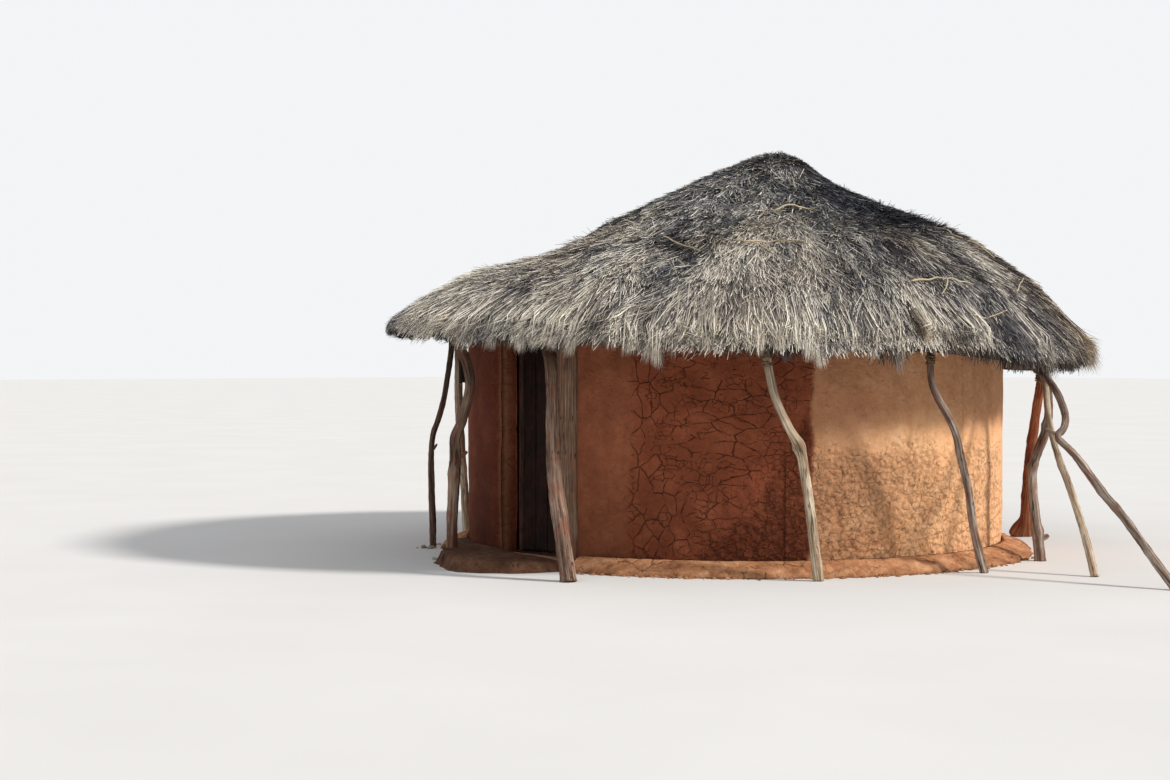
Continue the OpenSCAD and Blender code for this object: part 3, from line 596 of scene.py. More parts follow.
def zones(p):
    """How cracked, pitted and pale the wall is at points p, as the photograph shows."""
    true_b = bearing_of(p[:, 0], p[:, 1]) % 360
    b = (true_b + 1.2 * noise(p, 0.4, 5, 3)) % 360
    z = p[:, 2] + 0.12 * noise(p, 0.4, 9, 2)
    front = band(23.2, 25.2, 58.2, 59.4, b)
    right = band(58.2, 59.4, 118, 168, b)
    back = band(125, 170, 236, 262, b)
    left = step(300, 312, b)
    low = 1 - step(0.75, 1.15, z)
    crumbled = front * step(36, 42, b) * (1 - step(-0.12, 0.12, z - 0.25 - 0.082 * np.clip(b - 45.4, 0, 20)))
    rough = right * low * (1 - 0.45 * step(80, 92, b)) * (1 - 0.6 * step(106, 120, b))
    worn = 0.6 * back * (1 - step(0.4, 0.8, z))
    cracked = np.maximum.reduce([front * (1 - 0.75 * crumbled), 0.8 * back, 0.2 * left, 0.5 * right * low])
    pitted = np.clip(np.maximum.reduce([crumbled, rough, worn, np.full(len(p), 0.12)]), 0, 1)
    # Painted light on the reveal at the doorway's left side.
    lit_reveal = step(347, 347.8, true_b) * (np.hypot(p[:, 0], p[:, 1]) < WALL_R - 0.02)
    # The right part is pale partly in its own colour and partly as painted sunlight, with painted eave
    # shadow from about 1.0 to 1.25 m up.
    pale_and_sunlit = right * (0.66 + 0.34 * step(66, 84, b)) * (1 - 0.4 * step(1.0, 1.25, z))
    pale = 0.06 * band(8, 13, 23, 26, b) + pale_and_sunlit + 0.27 * lit_reveal + 0.2 * band(256, 270, 296, 306, b)
    return np.stack([cracked, pitted, np.clip(pale, 0, 1)], 1)


def roughened(p, radial, amount):
    """Points p moved outwards by lumps and hollows, and worn back near the ground."""
    cracked, pitted, _ = zones(p).T
    lumps = 0.011 * noise(p, 0.5, 1, 3) + 0.004 * noise(p, 0.09, 2, 2)
    worn = -0.012 * (1 - step(0.0, 0.5, p[:, 2])) * (0.6 + 0.8 * noise(p, 0.35, 3, 2))
    patch = 0.009 * cracked * step(0.0, 0.06, noise(p, 0.25, 4, 2))
    clods = 0.012 * pitted * noise(p, 0.07, 6, 2)
    move = np.clip(amount * (lumps + worn + patch + clods), -0.03, 0.022)
    return p + radial * move[:, None]


def wall_sheet(k, r, cut, amount):
    """A sector's outer or inner face as a grid of points, and their directions outwards."""
    rows, cols = cut
    sector = (360 - 2 * DOOR_BEARING) / SECTORS
    at_door = math.degrees(math.asin(DOOR_HALF / r))
    start = at_door if k == 0 else DOOR_BEARING + k * sector
    end = 360 - at_door if k == SECTORS - 1 else DOOR_BEARING + (k + 1) * sector
    b = np.linspace(start, end, cols)
    top = wall_top(at(b, r, 0)) - TOP_GAP
    bb, ss = np.meshgrid(b, np.linspace(0, 1, rows))
    radial = at(bb.ravel(), 1.0, 0.0)
    return roughened(at(bb.ravel(), r, (ss * top[None, :]).ravel()), radial, amount), radial


def doorway_side(verts, outer_ids, inner_ids, flip):
    """The doorway's side as a fine grid between the wall's outer and inner edge, with a slight swell."""
    rows = len(outer_ids)
    places, own = np.linspace(0, 1, rows), np.linspace(0, 1, len(inner_ids))
    inner_line = np.stack([np.interp(places, own, verts[inner_ids, a]) for a in range(3)], 1)
    f = np.linspace(0, 1, SIDE_CUT)[1:, None, None]
    grid = (verts[outer_ids][None] * (1 - f) + inner_line[None] * f).reshape(-1, 3)
    swell = 0.006 * noise(grid, 0.2, 8, 3) * np.repeat(np.sin(np.linspace(0, math.pi, SIDE_CUT)[1:]), rows)
    grid[:, 0] += np.sign(grid[:, 0]) * (np.abs(swell) + np.maximum(0, DOOR_HALF - np.abs(grid[:, 0])))
    ids = np.concatenate([outer_ids[None], len(verts) + np.arange(len(grid)).reshape(-1, rows)])
    quads = np.stack([ids[:-1, :-1], ids[:-1, 1:], ids[1:, 1:], ids[1:, :-1]], -1).reshape(-1, 4)
    strips = [bridge(ids[-1], inner_ids, flip), fan(inner_ids[0], ids[:, 0], flip),
              fan(inner_ids[-1], ids[:, -1], not flip)]
    return np.concatenate([verts, grid]), quads if flip else quads[:, ::-1], strips


def wall_piece(k):
    """One sector of the wall as a closed mesh with an uneven outer face."""
    cut = SEEN_CUT if k in SEEN_SECTORS else PLAIN_CUT
    by_door = k in (0, SECTORS - 1)
    outer, radial = wall_sheet(k, WALL_R, cut, 1.0)
    inner, _ = wall_sheet(k, WALL_R - WALL_T, INNER_CUT, -0.5)
    if by_door:
        # The outer edge of the doorway is rounded.
        off = np.abs(np.abs(outer[:, 0]) - DOOR_HALF)
        near = (1 - step(0.0, 0.07, off)) * (outer[:, 1] < 0)
        outer = outer - radial * (0.035 * near ** 2)[:, None]
    verts = np.concatenate([outer, inner])
    faces = [grid_faces(*cut), grid_faces(*INNER_CUT, start=len(outer), flip=True)]
    outer_ids = np.arange(len(outer)).reshape(cut)
    inner_ids = len(outer) + np.arange(len(inner)).reshape(INNER_CUT)
    edges = [(outer_ids[0], inner_ids[0], True), (outer_ids[-1], inner_ids[-1], False),
             (outer_ids[:, 0], inner_ids[:, 0], False), (outer_ids[:, -1], inner_ids[:, -1], True)]
    strips = []
    if by_door:
        verts, side, strips = doorway_side(verts, *edges.pop(2 if k == 0 else 3))
        faces.append(side)
    faces.append(np.concatenate(strips + [bridge(*edge) for edge in edges]))
    build(f"daub_wall_{k + 1}", verts, faces, MUD, replaces=(f"wall_{k + 1}",), tint=zones(verts))


def swept_block(name, low, high, cells, wobble, seed, material, body="hut", replaces=(), shape=None,
                tinted=False):
    """A box from low to high as a fine closed grid with rounded edges, whose faces wander a little."""
    low, high = np.array(low, float), np.array(high, float)
    verts, faces, count = [], [], 0
    for axis, side in itertools.product(range(3), (0, 1)):
        u, v = (axis + 1) % 3, (axis + 2) % 3
        gu, gv = np.meshgrid(np.linspace(0, 1, cells[u] + 1), np.linspace(0, 1, cells[v] + 1), indexing="ij")
        p = np.full((gu.size, 3), float(side))
        p[:, u], p[:, v] = gu.ravel(), gv.ravel()
        verts.append(p)
        faces.append(grid_faces(cells[u] + 1, cells[v] + 1, start=count, flip=(side == 0)))
        count += len(p)
    share = np.concatenate(verts)
    key = np.round(share * 10000).astype(np.int64)
    _, first, inverse = np.unique(key, axis=0, return_index=True, return_inverse=True)
    share = share[first]
    size = high - low
    p = low + share * size
    inset = np.minimum(0.2 * size.min(), 0.012)
    core = np.clip(p, low + inset, high - inset)
    normal = unit(p - core, 1e-9)
    p = core + normal * inset
    long_axis = int(np.argmax(size))
    stretched = p.copy()
    stretched[:, long_axis] *= 0.12
    p = p + normal * (wobble * noise(stretched + seed, 0.035, seed, 3) - wobble * 0.6)[:, None]
    if shape is not None:
        p = shape(p, share)
    off = p - (low + high) / 2
    uv = np.stack([off[:, (long_axis + 1) % 3] + 0.7 * off[:, (long_axis + 2) % 3], p[:, long_axis]], 1)
    build(name, p, [inverse.ravel()[np.concatenate(faces)]], material, body, replaces,
          tint=zones(p) if tinted else None, uv=uv)


def make_wall():
    for k in range(SECTORS):
        wall_piece(k)
    low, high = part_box("wall_over_door")

    def curved(p, share):
        """The block bent to the wall's round, with its top on the wall's slope."""
        q = p.copy()
        r = WALL_R - WALL_T * share[:, 1]
        q[:, 1] = -np.sqrt(np.maximum(r * r - p[:, 0] ** 2, 0))
        q[:, 2] = low[2] + share[:, 2] * (wall_top(q) - TOP_GAP - low[2])
        return q

    swept_block("daub_over_door", low, high, (40, 8, 6), 0.008, 3, MUD, replaces=("wall_over_door",),
                shape=curved, tinted=True)


# Bench and threshold

def make_bench():
    """The low mud bench along the wall's foot, ragged at its edge and worn lower towards it."""
    cols, ragged, piece = 520, 0.055, 0.022
    out = WALL_R + BENCH_W
    corners = [(WALL_R, BENCH_H), (WALL_R + 0.06, BENCH_H - 0.002), (WALL_R + 0.14, BENCH_H - 0.012),
               (out - 0.05, BENCH_H - 0.03), (out - 0.015, 0.05), (out, 0.0)]
    profile = []
    for (r0, z0), (r1, z1) in zip(corners[:-1], corners[1:]):
        steps = max(1, int(math.hypot(r1 - r0, z1 - z0) / piece))
        profile += [(r0 + (r1 - r0) * s / steps, z0 + (z1 - z0) * s / steps) for s in range(steps)]
    profile = np.array(profile + corners[-1:])
    rows = len(profile)
    bb, rr = np.meshgrid(np.linspace(BENCH_FROM, 360 + BANK_FROM, cols), profile[:, 0])
    b, r = bb.ravel(), rr.ravel()
    p = at(b, r, np.repeat(profile[:, 1], cols))
    free = step(0.0, 0.06, r - WALL_R - 0.002)
    lump = 0.6 * noise(p * [1, 1, 0.3], 0.3, 11, 3) + 0.5 * noise(p, 0.07, 12, 2)
    p += at(b, 1.0, 0.0) * (ragged * free * lump)[:, None]
    wear = np.clip(0.55 + 0.45 * noise(p * [1, 1, 0], 0.5, 13, 3), 0, 1)
    p[:, 2] *= 1 - 0.75 * free * wear * step(0.0, 1.0, (r - WALL_R) / BENCH_W)
    p[:, 2] += 0.3 * ragged * free * noise(p, 0.06, 14, 2) * (p[:, 2] > 0.01)
    p[:, 2] = np.clip(p[:, 2], 0, BENCH_H + 0.012)
    ids = np.arange(rows * cols).reshape(rows, cols)
    ground = np.stack([ids[0, :-1], ids[0, 1:], ids[-1, 1:], ids[-1, :-1]], 1)
    ends = [fan(ids[0, column], ids[1:, column], flip) for column, flip in ((0, False), (-1, True))]
    faces = [grid_faces(rows, cols, flip=True), ground, np.concatenate(ends)]
    build("mud_bench", p, faces, BENCH, replaces=("plinth",))


def make_bank():
    """The bank of trodden earth at the doorway, worn and lumpy, over the form of its CAD piece."""
    tree = cad_tree(["threshold"])
    cols, rows = 150, 56
    bearings = np.linspace(BANK_FROM, BENCH_FROM, cols)
    reach = []
    for b in np.clip(bearings, BANK_FROM + 0.5, BENCH_FROM - 0.5):
        way = Vector(at(b, 1.0, 0.0)[0])
        hit = tree.ray_cast(way * 5 + Vector((0, 0, 0.012)), -way)
        reach.append(max(WALL_R + 0.05, hit[0].xy.length))
    reach = np.convolve(np.pad(reach, 6, "edge"), np.ones(13) / 13, "valid")
    bb, ss = np.meshgrid(bearings, np.linspace(0, 1, rows))
    p = at(bb.ravel(), (WALL_R + ss * (reach - WALL_R)[None, :]).ravel(), 0.0)
    for point in p:
        point[2] = height_below(tree, point[0], point[1], 1.0) or 0.0
    height = p[:, 2].reshape(rows, cols)
    for _ in range(3):
        wide = np.pad(height, 1, "edge")
        height = (wide[1:-1, 1:-1] + wide[:-2, 1:-1] + wide[2:, 1:-1] + wide[1:-1, :-2] + wide[1:-1, 2:]) / 5
    near_edge = step(0.0, 0.12, 1 - ss)
    lumps = 0.014 * noise(p, 0.3, 91, 3) + 0.009 * noise(p, 0.08, 92, 3)
    height = height * near_edge + (lumps.reshape(rows, cols) * step(0.0, 0.06, ss) - 0.004) * near_edge
    p[:, 2] = np.clip(height.ravel(), 0, 0.125)
    ragged = 0.03 * noise(p * [1, 1, 0], 0.12, 93, 3) * step(0.5, 0.9, ss.ravel())
    p += at(bb.ravel(), 1.0, 0.0) * ragged[:, None]
    p[-cols:, 2] = 0.0
    ids = np.arange((rows + 1) * cols).reshape(rows + 1, cols)
    first, last, low = ids[0], ids[-2], ids[-1]
    back = np.stack([first[:-1], first[1:], low[1:], low[:-1]], 1)
    ground = np.stack([last[:-1], last[1:], low[1:], low[:-1]], 1)[:, ::-1]
    ends = [fan(low[column], ids[:-1, column], flip) for column, flip in ((0, False), (-1, True))]
    faces = [grid_faces(rows, cols, flip=True), back, ground, np.concatenate(ends)]
    build("earth_bank", np.concatenate([p, at(bearings, WALL_R, 0.0)]), faces, SHADED_BANK,
          replaces=("threshold",))


# A ball of 20 triangles.
GOLDEN = 1.618
CORNER_AWAY = 1.902
BALL = np.array([(-1, GOLDEN, 0), (1, GOLDEN, 0), (-1, -GOLDEN, 0), (1, -GOLDEN, 0), (0, -1, GOLDEN),
                 (0, 1, GOLDEN), (0, -1, -GOLDEN), (0, 1, -GOLDEN), (GOLDEN, 0, -1), (GOLDEN, 0, 1),
                 (-GOLDEN, 0, -1), (-GOLDEN, 0, 1)]) / CORNER_AWAY
BALL_FACES = np.array([(0, 11, 5), (0, 5, 1), (0, 1, 7), (0, 7, 10), (0, 10, 11), (1, 5, 9), (5, 11, 4),
                       (11, 10, 2), (10, 7, 6), (7, 1, 8), (3, 9, 4), (3, 4, 2), (3, 2, 6), (3, 6, 8),
                       (3, 8, 9), (4, 9, 5), (2, 4, 11), (6, 2, 10), (8, 6, 7), (9, 8, 1)])


def scatter(name, centres, sizes, seed, material):
    """Small irregular lumps that lie at centres, a little sunk."""
    rng = np.random.default_rng(seed)
    verts, faces = [], []
    for k, (centre, size) in enumerate(zip(centres, sizes)):
        lump = BALL * rng.uniform(0.82, 1.12, (12, 1)) * rng.uniform(0.75, 1.25, 3) * [1, 1, 0.7]
        turn = rng.uniform(0, 2 * math.pi)
        c, s = math.cos(turn), math.sin(turn)
        p = lump @ np.array([[c, s, 0], [-s, c, 0], [0, 0, 1]]) * size + centre
        p[:, 2] = np.maximum(p[:, 2], 0)
        verts.append(p)
        faces.append(BALL_FACES + 12 * k)
    build(name, np.concatenate(verts), [np.concatenate(faces)], material, smooth=False)


def make_clods():
    """Clods that have crumbled off the bench, and stones at the feet of the two left posts."""
    rng = np.random.default_rng(21)
    clods, stones_each = 760, 7
    stones = 2 * stones_each
    in_front = rng.uniform(0, 1, clods) < 0.75
    bearing = np.where(in_front, rng.uniform(16, 116, clods), rng.uniform(116, 322, clods))
    size = 0.007 + 0.02 * rng.uniform(0, 1, clods) ** 3
    away = rng.normal(-0.01, 0.035, clods)
    p = at(bearing, WALL_R + BENCH_W + away, 0.0)
    p[:, 2] = 0.1 * size + np.maximum(0, -away - 0.055) * 0.45
    scatter("fallen_clods", p, size, 22, BENCH)
    feet = np.array([slices(name, 3)[0][0][:2] for name in ("post_left_thin", "post_left")])
    places = np.repeat(feet, stones_each, axis=0) + rng.normal(0, 0.045, (stones, 2)) + [0.05, -0.07]
    size = rng.uniform(0.012, 0.032, stones)
    scatter("foot_stones", np.column_stack([places, size * 0.15]), size, 23, STONE)


def make_base():
    make_bench()
    make_bank()
    swept_block("earth_step", (-0.47, -2.3, 0.0), (0.47, -2.08, 0.06), (40, 10, 4), 0.006, 5, EARTH)
    make_clods()


# Posts

def slices(node, count):
    """Centre and least radius of a post's section at even heights, from the CAD mesh."""
    co, tri = cad_faces([node])
    sides = np.concatenate([tri[:, [0, 1]], tri[:, [1, 2]], tri[:, [2, 0]]])
    edges = np.unique(np.sort(sides, axis=1), axis=0)
    a, b = co[edges[:, 0]], co[edges[:, 1]]
    low, high = co[:, 2].min(), co[:, 2].max()
    centres, radii = [], []
    for z in np.linspace(low + 0.001, high - 0.001, count):
        hit = (a[:, 2] - z) * (b[:, 2] - z) < 0
        f = ((z - a[hit, 2]) / (b[hit, 2] - a[hit, 2]))[:, None]
        p = a[hit] + (b[hit] - a[hit]) * f
        c = (p.min(0) + p.max(0)) / 2
        centres.append((c[0], c[1], z))
        radii.append(np.hypot(*(p - c)[:, :2].T).min() * 1.02)
    centres = np.array(centres)
    centres[0, 2], centres[-1, 2] = low, high
    return centres, np.array(radii)


def sweep(path, radii, sides, ridge, seed, knots=()):
    """Closed tube along a path, with grain ridges, and swellings at knots (share of length, angle, size)."""
    n = len(path)
    tangent = unit(np.gradient(path, axis=0), 1e-9)
    side = unit(np.cross(tangent, [1.0, 0.0, 0.0] if abs(tangent[0][0]) < 0.8 else [0.0, 1.0, 0.0]), 1e-9)
    other = np.cross(tangent, side)
    length = np.concatenate([[0], np.cumsum(np.linalg.norm(np.diff(path, axis=0), axis=1))])
    aa, ll = np.meshgrid(np.linspace(0, 2 * math.pi, sides, endpoint=False), length)
    angle, along = aa.ravel(), ll.ravel()
    around = np.stack([np.cos(angle) * 0.5, np.sin(angle) * 0.5, along], 1)
    grain = noise(around * [1, 1, 0.6] + seed, 0.16, seed, 3)
    twist = noise(around * [0.4, 0.4, 1] + seed, 0.25, seed + 3, 2)
    r = np.repeat(radii, sides) * (1 + ridge * grain + 0.1 * twist)
    for share, at_angle, size in knots:
        d = (along - share * length[-1]) / 0.045
        r = r + size * np.exp(-d * d) * np.clip(np.cos(angle - at_angle), 0, 1) ** 2
    spread = np.cos(aa)[..., None] * side[:, None, :] + np.sin(aa)[..., None] * other[:, None, :]
    p = np.repeat(path, sides, axis=0) + spread.reshape(-1, 3) * r[:, None]
    rim = np.append(np.arange(sides), 0)
    caps = [fan(n * sides, rim, False), fan(n * sides + 1, rim + (n - 1) * sides, True)]
    faces = [grid_faces(n, sides, closed=True, flip=True), np.concatenate(caps)]
    uv = np.concatenate([np.stack([angle * np.mean(radii), along], 1), [[0, 0], [0, length[-1]]]])
    return np.concatenate([p, [path[0], path[-1]]]), faces, uv


def stub(base, direction, length, radius, seed):
    """A short broken-off twig that grows out of a post."""
    direction = np.array(direction, float)
    direction /= np.linalg.norm(direction)
    steps = np.linspace(0, 1, 7)[:, None]
    path = np.array(base) + direction * length * steps + np.array([0, 0, 0.15 * length]) * steps ** 2
    return sweep(path, radius * np.array([1.5, 1.15, 1.0, 0.95, 0.9, 0.85, 0.6]), 10, 0.2, seed)


# Each post: its wood, its knots as (share of length, angle, size), and its stubs as
# (share of the height, sideways direction, length, radius).
POSTS = {
    "post_left": (BROWN_WOOD, [(0.38, 3.6, 0.022), (0.62, 0.8, 0.012)],
                  [(0.46, (0.75, 0.6, 0.5), 0.05, 0.016)]),
    "post_doorway": (BROWN_WOOD, [(0.3, 1.0, 0.012), (0.66, 4.0, 0.014)], []),
    "post_front": (PALE_WOOD, [(0.575, 2.0, 0.02), (0.585, 5.0, 0.012), (0.2, 1.0, 0.008)], []),
    "post_front_right": (GREY_WOOD, [(0.55, 1.0, 0.01), (0.8, 4.0, 0.01)], []),
    "post_right": (GREY_WOOD, [(0.35, 1.0, 0.018), (0.5, 4.0, 0.02), (0.7, 2.5, 0.016), (0.15, 5.0, 0.014)],
                   [(0.12, (0.6, 0.75, 0.25), 0.03, 0.024), (0.955, (-0.66, -0.75, 1.1), 0.1, 0.02)]),
    "post_right_back": (RED_WOOD, [(0.02, 2.4, 0.06), (0.05, 2.4, 0.05), (0.08, 2.4, 0.03),
                                   (0.25, 1.0, 0.02), (0.6, 3.0, 0.014)], []),
    "post_back_1": (GREY_WOOD, [(0.4, 2.0, 0.014)], []),
    "post_back_2": (GREY_WOOD, [(0.6, 5.0, 0.014)], [(0.55, (-0.3, 1.0, 0.5), 0.06, 0.014)]),
    "post_back_3": (PALE_WOOD, [(0.5, 3.0, 0.014)], []),
    "post_back_4": (GREY_WOOD, [(0.35, 1.0, 0.014)], []),
    "post_left_back": (PALE_WOOD, [(0.5, 1.0, 0.01)], []),
    "post_left_thin": (DARK_WOOD, [(0.52, 1.0, 0.01)], [(0.43, (0.6, 0.2, 0.6), 0.05, 0.012)]),
    "prop_right_near": (PALE_WOOD, [(0.5, 1.0, 0.01), (0.75, 4.0, 0.008)], []),
    "prop_right_far": (GREY_WOOD, [(0.635, 2.0, 0.012)], [(0.655, (-0.7, -0.6, 0.3), 0.07, 0.014)]),
}
POST_ROWS, POST_SIDES = 92, 22
POST_LINES = {}


def make_posts():
    for seed, (name, (wood, knots, stubs)) in enumerate(POSTS.items()):
        path, radii = POST_LINES[name] = slices(name, POST_ROWS)
        parts = [sweep(path, radii, POST_SIDES, 0.24, seed * 7 + 1, knots)]
        for k, (share, way, length, radius) in enumerate(stubs):
            i = int(share * (len(path) - 1))
            base = path[i] + np.array(way) * radii[i] * 0.4
            parts.append(stub(base, way, length + radii[i], radius, seed + k))
        verts, faces, uv = joined(parts)
        verts[:, 2] = np.clip(verts[:, 2], path[0][2], path[-1][2])
        build("wood_" + name, verts, faces, wood,
              replaces=(name,), uv=uv)


# Lashings and loose bits

TURN_POINTS = 24
BARK_R, WIRE_R = 0.0065, 0.0035
HANGING_AT = 1.52


def loop_round(centre, radius, thick, seed):
    """One turn of bark or wire round an upright pole, with its ends crossed."""
    turn = np.linspace(0, 2.15 * math.pi, TURN_POINTS)
    wander = noise(np.column_stack([turn * 0.5, turn * 0 + seed, turn * 0]), 0.4, seed, 2)
    r = radius + thick * (0.9 + 0.5 * wander)
    rise = np.linspace(0, 1.6 * thick, TURN_POINTS)
    z = 0.2 * radius * np.sin(turn + seed) + 0.006 * wander + rise
    path = np.array(centre) + np.column_stack([r * np.cos(turn + seed), r * np.sin(turn + seed), z])
    return sweep(path, np.full(TURN_POINTS, thick), 6, 0.15, seed)


def make_lashings():
    bark, wire = [], []
    for seed, (path, radii) in enumerate(POST_LINES.values()):
        turns, thick = (wire, WIRE_R) if seed % 3 == 1 else (bark, BARK_R)
        for k in range(5):
            share = 0.95 + 0.009 * k + 0.004 * math.sin(seed * 3 + k * 5)
            i = min(int(share * (len(path) - 1)), len(path) - 2)
            turns.append(loop_round(path[i], radii[i], thick, seed * 11 + k))
    path, radii = POST_LINES["post_left"]
    i = int(np.argmin(np.abs(path[:, 2] - HANGING_AT)))
    beside = path[i] - np.array(RIGHT) * (radii[i] + 0.012)
    half = np.array([0.02, 0.03, 0.1])
    swept_block("hanging_bark", beside - half, beside + half, (4, 6, 16), 0.012, 51, SHADED_DOOR_WOOD)
    for name, parts, material in (("bark_lashings", bark, BARK), ("wire_lashings", wire, WIRE)):
        verts, faces, uv = joined(parts)
        build(name, verts, faces, material, uv=uv)


# Dead stalks that lie on the thatch, as (x, y) points in plan, radius.
STALKS = [
    ([(2.508, -0.679), (2.515, -0.48), (2.53, -0.292), (2.585, -0.05)], 0.008),
    ([(2.545, -0.3), (2.6, -0.39), (2.63, -0.477)], 0.006),
    ([(2.845, -0.361), (2.8, -0.1), (2.76, 0.128)], 0.006),
    ([(2.593, 0.515), (2.45, 0.76), (2.296, 0.998)], 0.006),
    ([(1.166, -0.723), (1.24, -0.56), (1.306, -0.404)], 0.007),
    ([(1.689, 0.778), (1.76, 0.79), (1.83, 0.82)], 0.007),
    ([(1.5, 0.8), (1.6, 0.84), (1.7, 0.84)], 0.005),
    ([(1.86, 0.84), (1.95, 0.89), (2.03, 0.97)], 0.006),
    ([(0.796, -1.617), (1.0, -1.6), (1.203, -1.605)], 0.006),
    ([(1.462, -1.38), (1.6, -1.2), (1.766, -1.038)], 0.006),
    ([(1.4, -1.42), (1.55, -1.33), (1.72, -1.26)], 0.005),
    ([(-1.2, 1.5), (-1.35, 1.35), (-1.6, 1.3)], 0.007),
    ([(-2.2, -0.6), (-2.25, -0.3), (-2.1, 0.0)], 0.006),
    ([(-0.4, 2.3), (-0.1, 2.4), (0.2, 2.3)], 0.007),
]
STALK_POINTS = 16


def make_stalks(roof):
    parts = []
    for seed, (points, radius) in enumerate(STALKS):
        s = np.linspace(0, len(points) - 1, STALK_POINTS)
        x, y = (np.interp(s, range(len(points)), values) for values in zip(*points))
        crooked = 0.012 * noise(np.column_stack([s, s * 0, s * 0]), 0.9, 300 + seed, 2)
        z = roof.height(x + crooked, y) + 0.026 + 0.02 * np.abs(np.sin(s * 1.3 + seed))
        path = np.column_stack([x + crooked, y + crooked, z])
        parts.append(sweep(path, radius * np.linspace(1.1, 0.6, STALK_POINTS), 7, 0.2, seed))
    verts, faces, uv = joined(parts)
    build("dead_stalks", verts, faces, STALK_WOOD, uv=uv)


# Thatch

class Roof:
    """The height of the thatch's top over the plan, and its edge, read from the CAD courses."""
    CELL = 0.03
    HALF = 3.3
    WIDEST = 3.12

    def __init__(self):
        tree = cad_tree(COURSES)
        self.count = int(2 * self.HALF / self.CELL) + 1
        axis = np.linspace(-self.HALF, self.HALF, self.count)
        xs, ys = np.meshgrid(axis, axis, indexing="ij")
        r = np.hypot(xs, ys)
        z = np.full(r.shape, np.nan)
        for i, j in np.argwhere(xs * xs + ys * ys < self.WIDEST ** 2):
            hit = height_below(tree, xs[i, j], ys[i, j], 5)
            if hit is not None:
                z[i, j] = hit
        gap = np.isnan(z)
        bearing = (bearing_of(xs, ys) % 360).astype(int)
        edge = np.array([r[~gap & (np.abs(signed(bearing - b)) <= 1)].max() for b in range(360)])
        self.edge = np.convolve(np.concatenate([edge[-4:], edge, edge[:4]]), np.ones(9) / 9, "valid")
        # Past the edge the surface falls away steeply.
        inner = self.edge[bearing] - 0.03
        back_in = inner / np.maximum(r, 1e-6)
        i, j = (np.clip(((q * back_in + self.HALF) / self.CELL).round().astype(int), 0, self.count - 1)
                for q in (xs, ys))
        self.top = np.where(gap, np.where(gap, 0, z)[i, j] - 1.3 * (r - inner), z)
        # Loose straw fills the steps between the courses.
        smooth = self.top
        for _ in range(34):
            smooth = (smooth + np.roll(smooth, 1, 0) + np.roll(smooth, -1, 0)
                      + np.roll(smooth, 1, 1) + np.roll(smooth, -1, 1)) / 5
        self.z = np.where(r < inner - 0.12, np.maximum(self.top, smooth + 0.012), self.top)
        self.z += relief(xs.ravel(), ys.ravel()).reshape(xs.shape) + droop(xs, ys, self.edge[bearing])

    def height(self, x, y, z=None):
        """Height of the loose straw's ground, or of another grid of heights."""
        u = np.clip((x + self.HALF) / self.CELL, 0, self.count - 1.001)
        v = np.clip((y + self.HALF) / self.CELL, 0, self.count - 1.001)
        i, j = u.astype(int), v.astype(int)
        f, g = u - i, v - j
        z = self.z if z is None else z
        near = z[i, j] * (1 - f) + z[i + 1, j] * f
        far = z[i, j + 1] * (1 - f) + z[i + 1, j + 1] * f
        return near * (1 - g) + far * g

    def reach(self, bearing):
        return np.interp(np.mod(bearing, 360), np.arange(361), np.append(self.edge, self.edge[0]))

    def lip(self, bearing):
        p = at(bearing, self.reach(bearing) - 0.05, 0.0)
        return self.height(p[:, 0], p[:, 1])


# Lowest tips of the eave's fringe as (bearing, height), from the photograph; elsewhere they
# follow the eave.
EAVE_TIPS = [(-100, 1.85), (-24, 1.84), (-9, 1.79), (2, 1.71), (12, 1.68), (19, 1.65), (25, 1.64), (30, 1.6),
             (33, 1.5), (35.5, 1.5), (38, 1.66), (46, 1.61), (52, 1.6), (60, 1.63), (64, 1.65), (66.5, 1.52),
             (69, 1.52), (71, 1.74), (77, 1.66), (85, 1.56), (95, 1.48), (105, 1.5), (125, 1.5)]


def droop(x, y, edge):
    """How far the straw sinks towards the edge, less at the two ends that the photograph shows."""
    b = signed(bearing_of(x, y))
    right = band(98, 115, 150, 165, b)
    left = band(-100, -80, -30, -10, b)
    s = np.clip((np.hypot(x, y) - edge + 0.45) / 0.45, 0, 1)
    return -(0.055 - 0.035 * left - 0.025 * right) * s * s


def down_slope(x, y):
    """Coordinates in which noise makes streaks down the slope, and the distance from the crown."""
    dx, dy = x - CROWN[0], y - CROWN[1]
    far = np.maximum(np.hypot(dx, dy), 0.05)
    return np.column_stack([2.2 * dx, 2.2 * dy, 0.3 * far * far]) / far[:, None], far


def relief(x, y):
    """Humps and ruts of the loose grass over the plan, in metres. The ruts run down the slope."""
    p = flat(x, y)
    down, far = down_slope(x, y)
    humps = 0.016 * noise(p, 0.34, 71, 2) + 0.01 * noise(p, 0.13, 72, 2)
    ruts = 0.054 * noise(down, 0.26, 73, 2) + 0.028 * noise(down, 0.11, 74, 2)
    settled = 0.055 * step(0.75, 1.45, far) - 0.03 * (1 - step(0.15, 0.5, far))
    return humps + ruts * step(0.2, 0.6, far) - settled


def strips(rows, width, roll, side, along, shares, faces, bright, warmth):
    """Tapered strips through rows of points, rolled about their own length.

    shares says how wide the strip is at each corner, with its side. bright and warmth are values
    of the corners."""
    lift = np.cross(side, along)
    half = (side * np.cos(roll)[:, None] + lift * np.sin(roll)[:, None]) * (width / 2)[:, None]
    verts = np.stack([row + half * share for row, share in zip(rows, shares)], 1)
    count = len(shares)
    start = np.arange(len(width))[:, None] * count
    values = [np.clip(np.stack(v, 1), 0, 1).ravel() for v in (bright, warmth)]
    tint = np.stack([*values, np.zeros(len(values[0]))], 1)
    return verts.reshape(-1, 3), [start + np.array([f]) for f in faces], tint


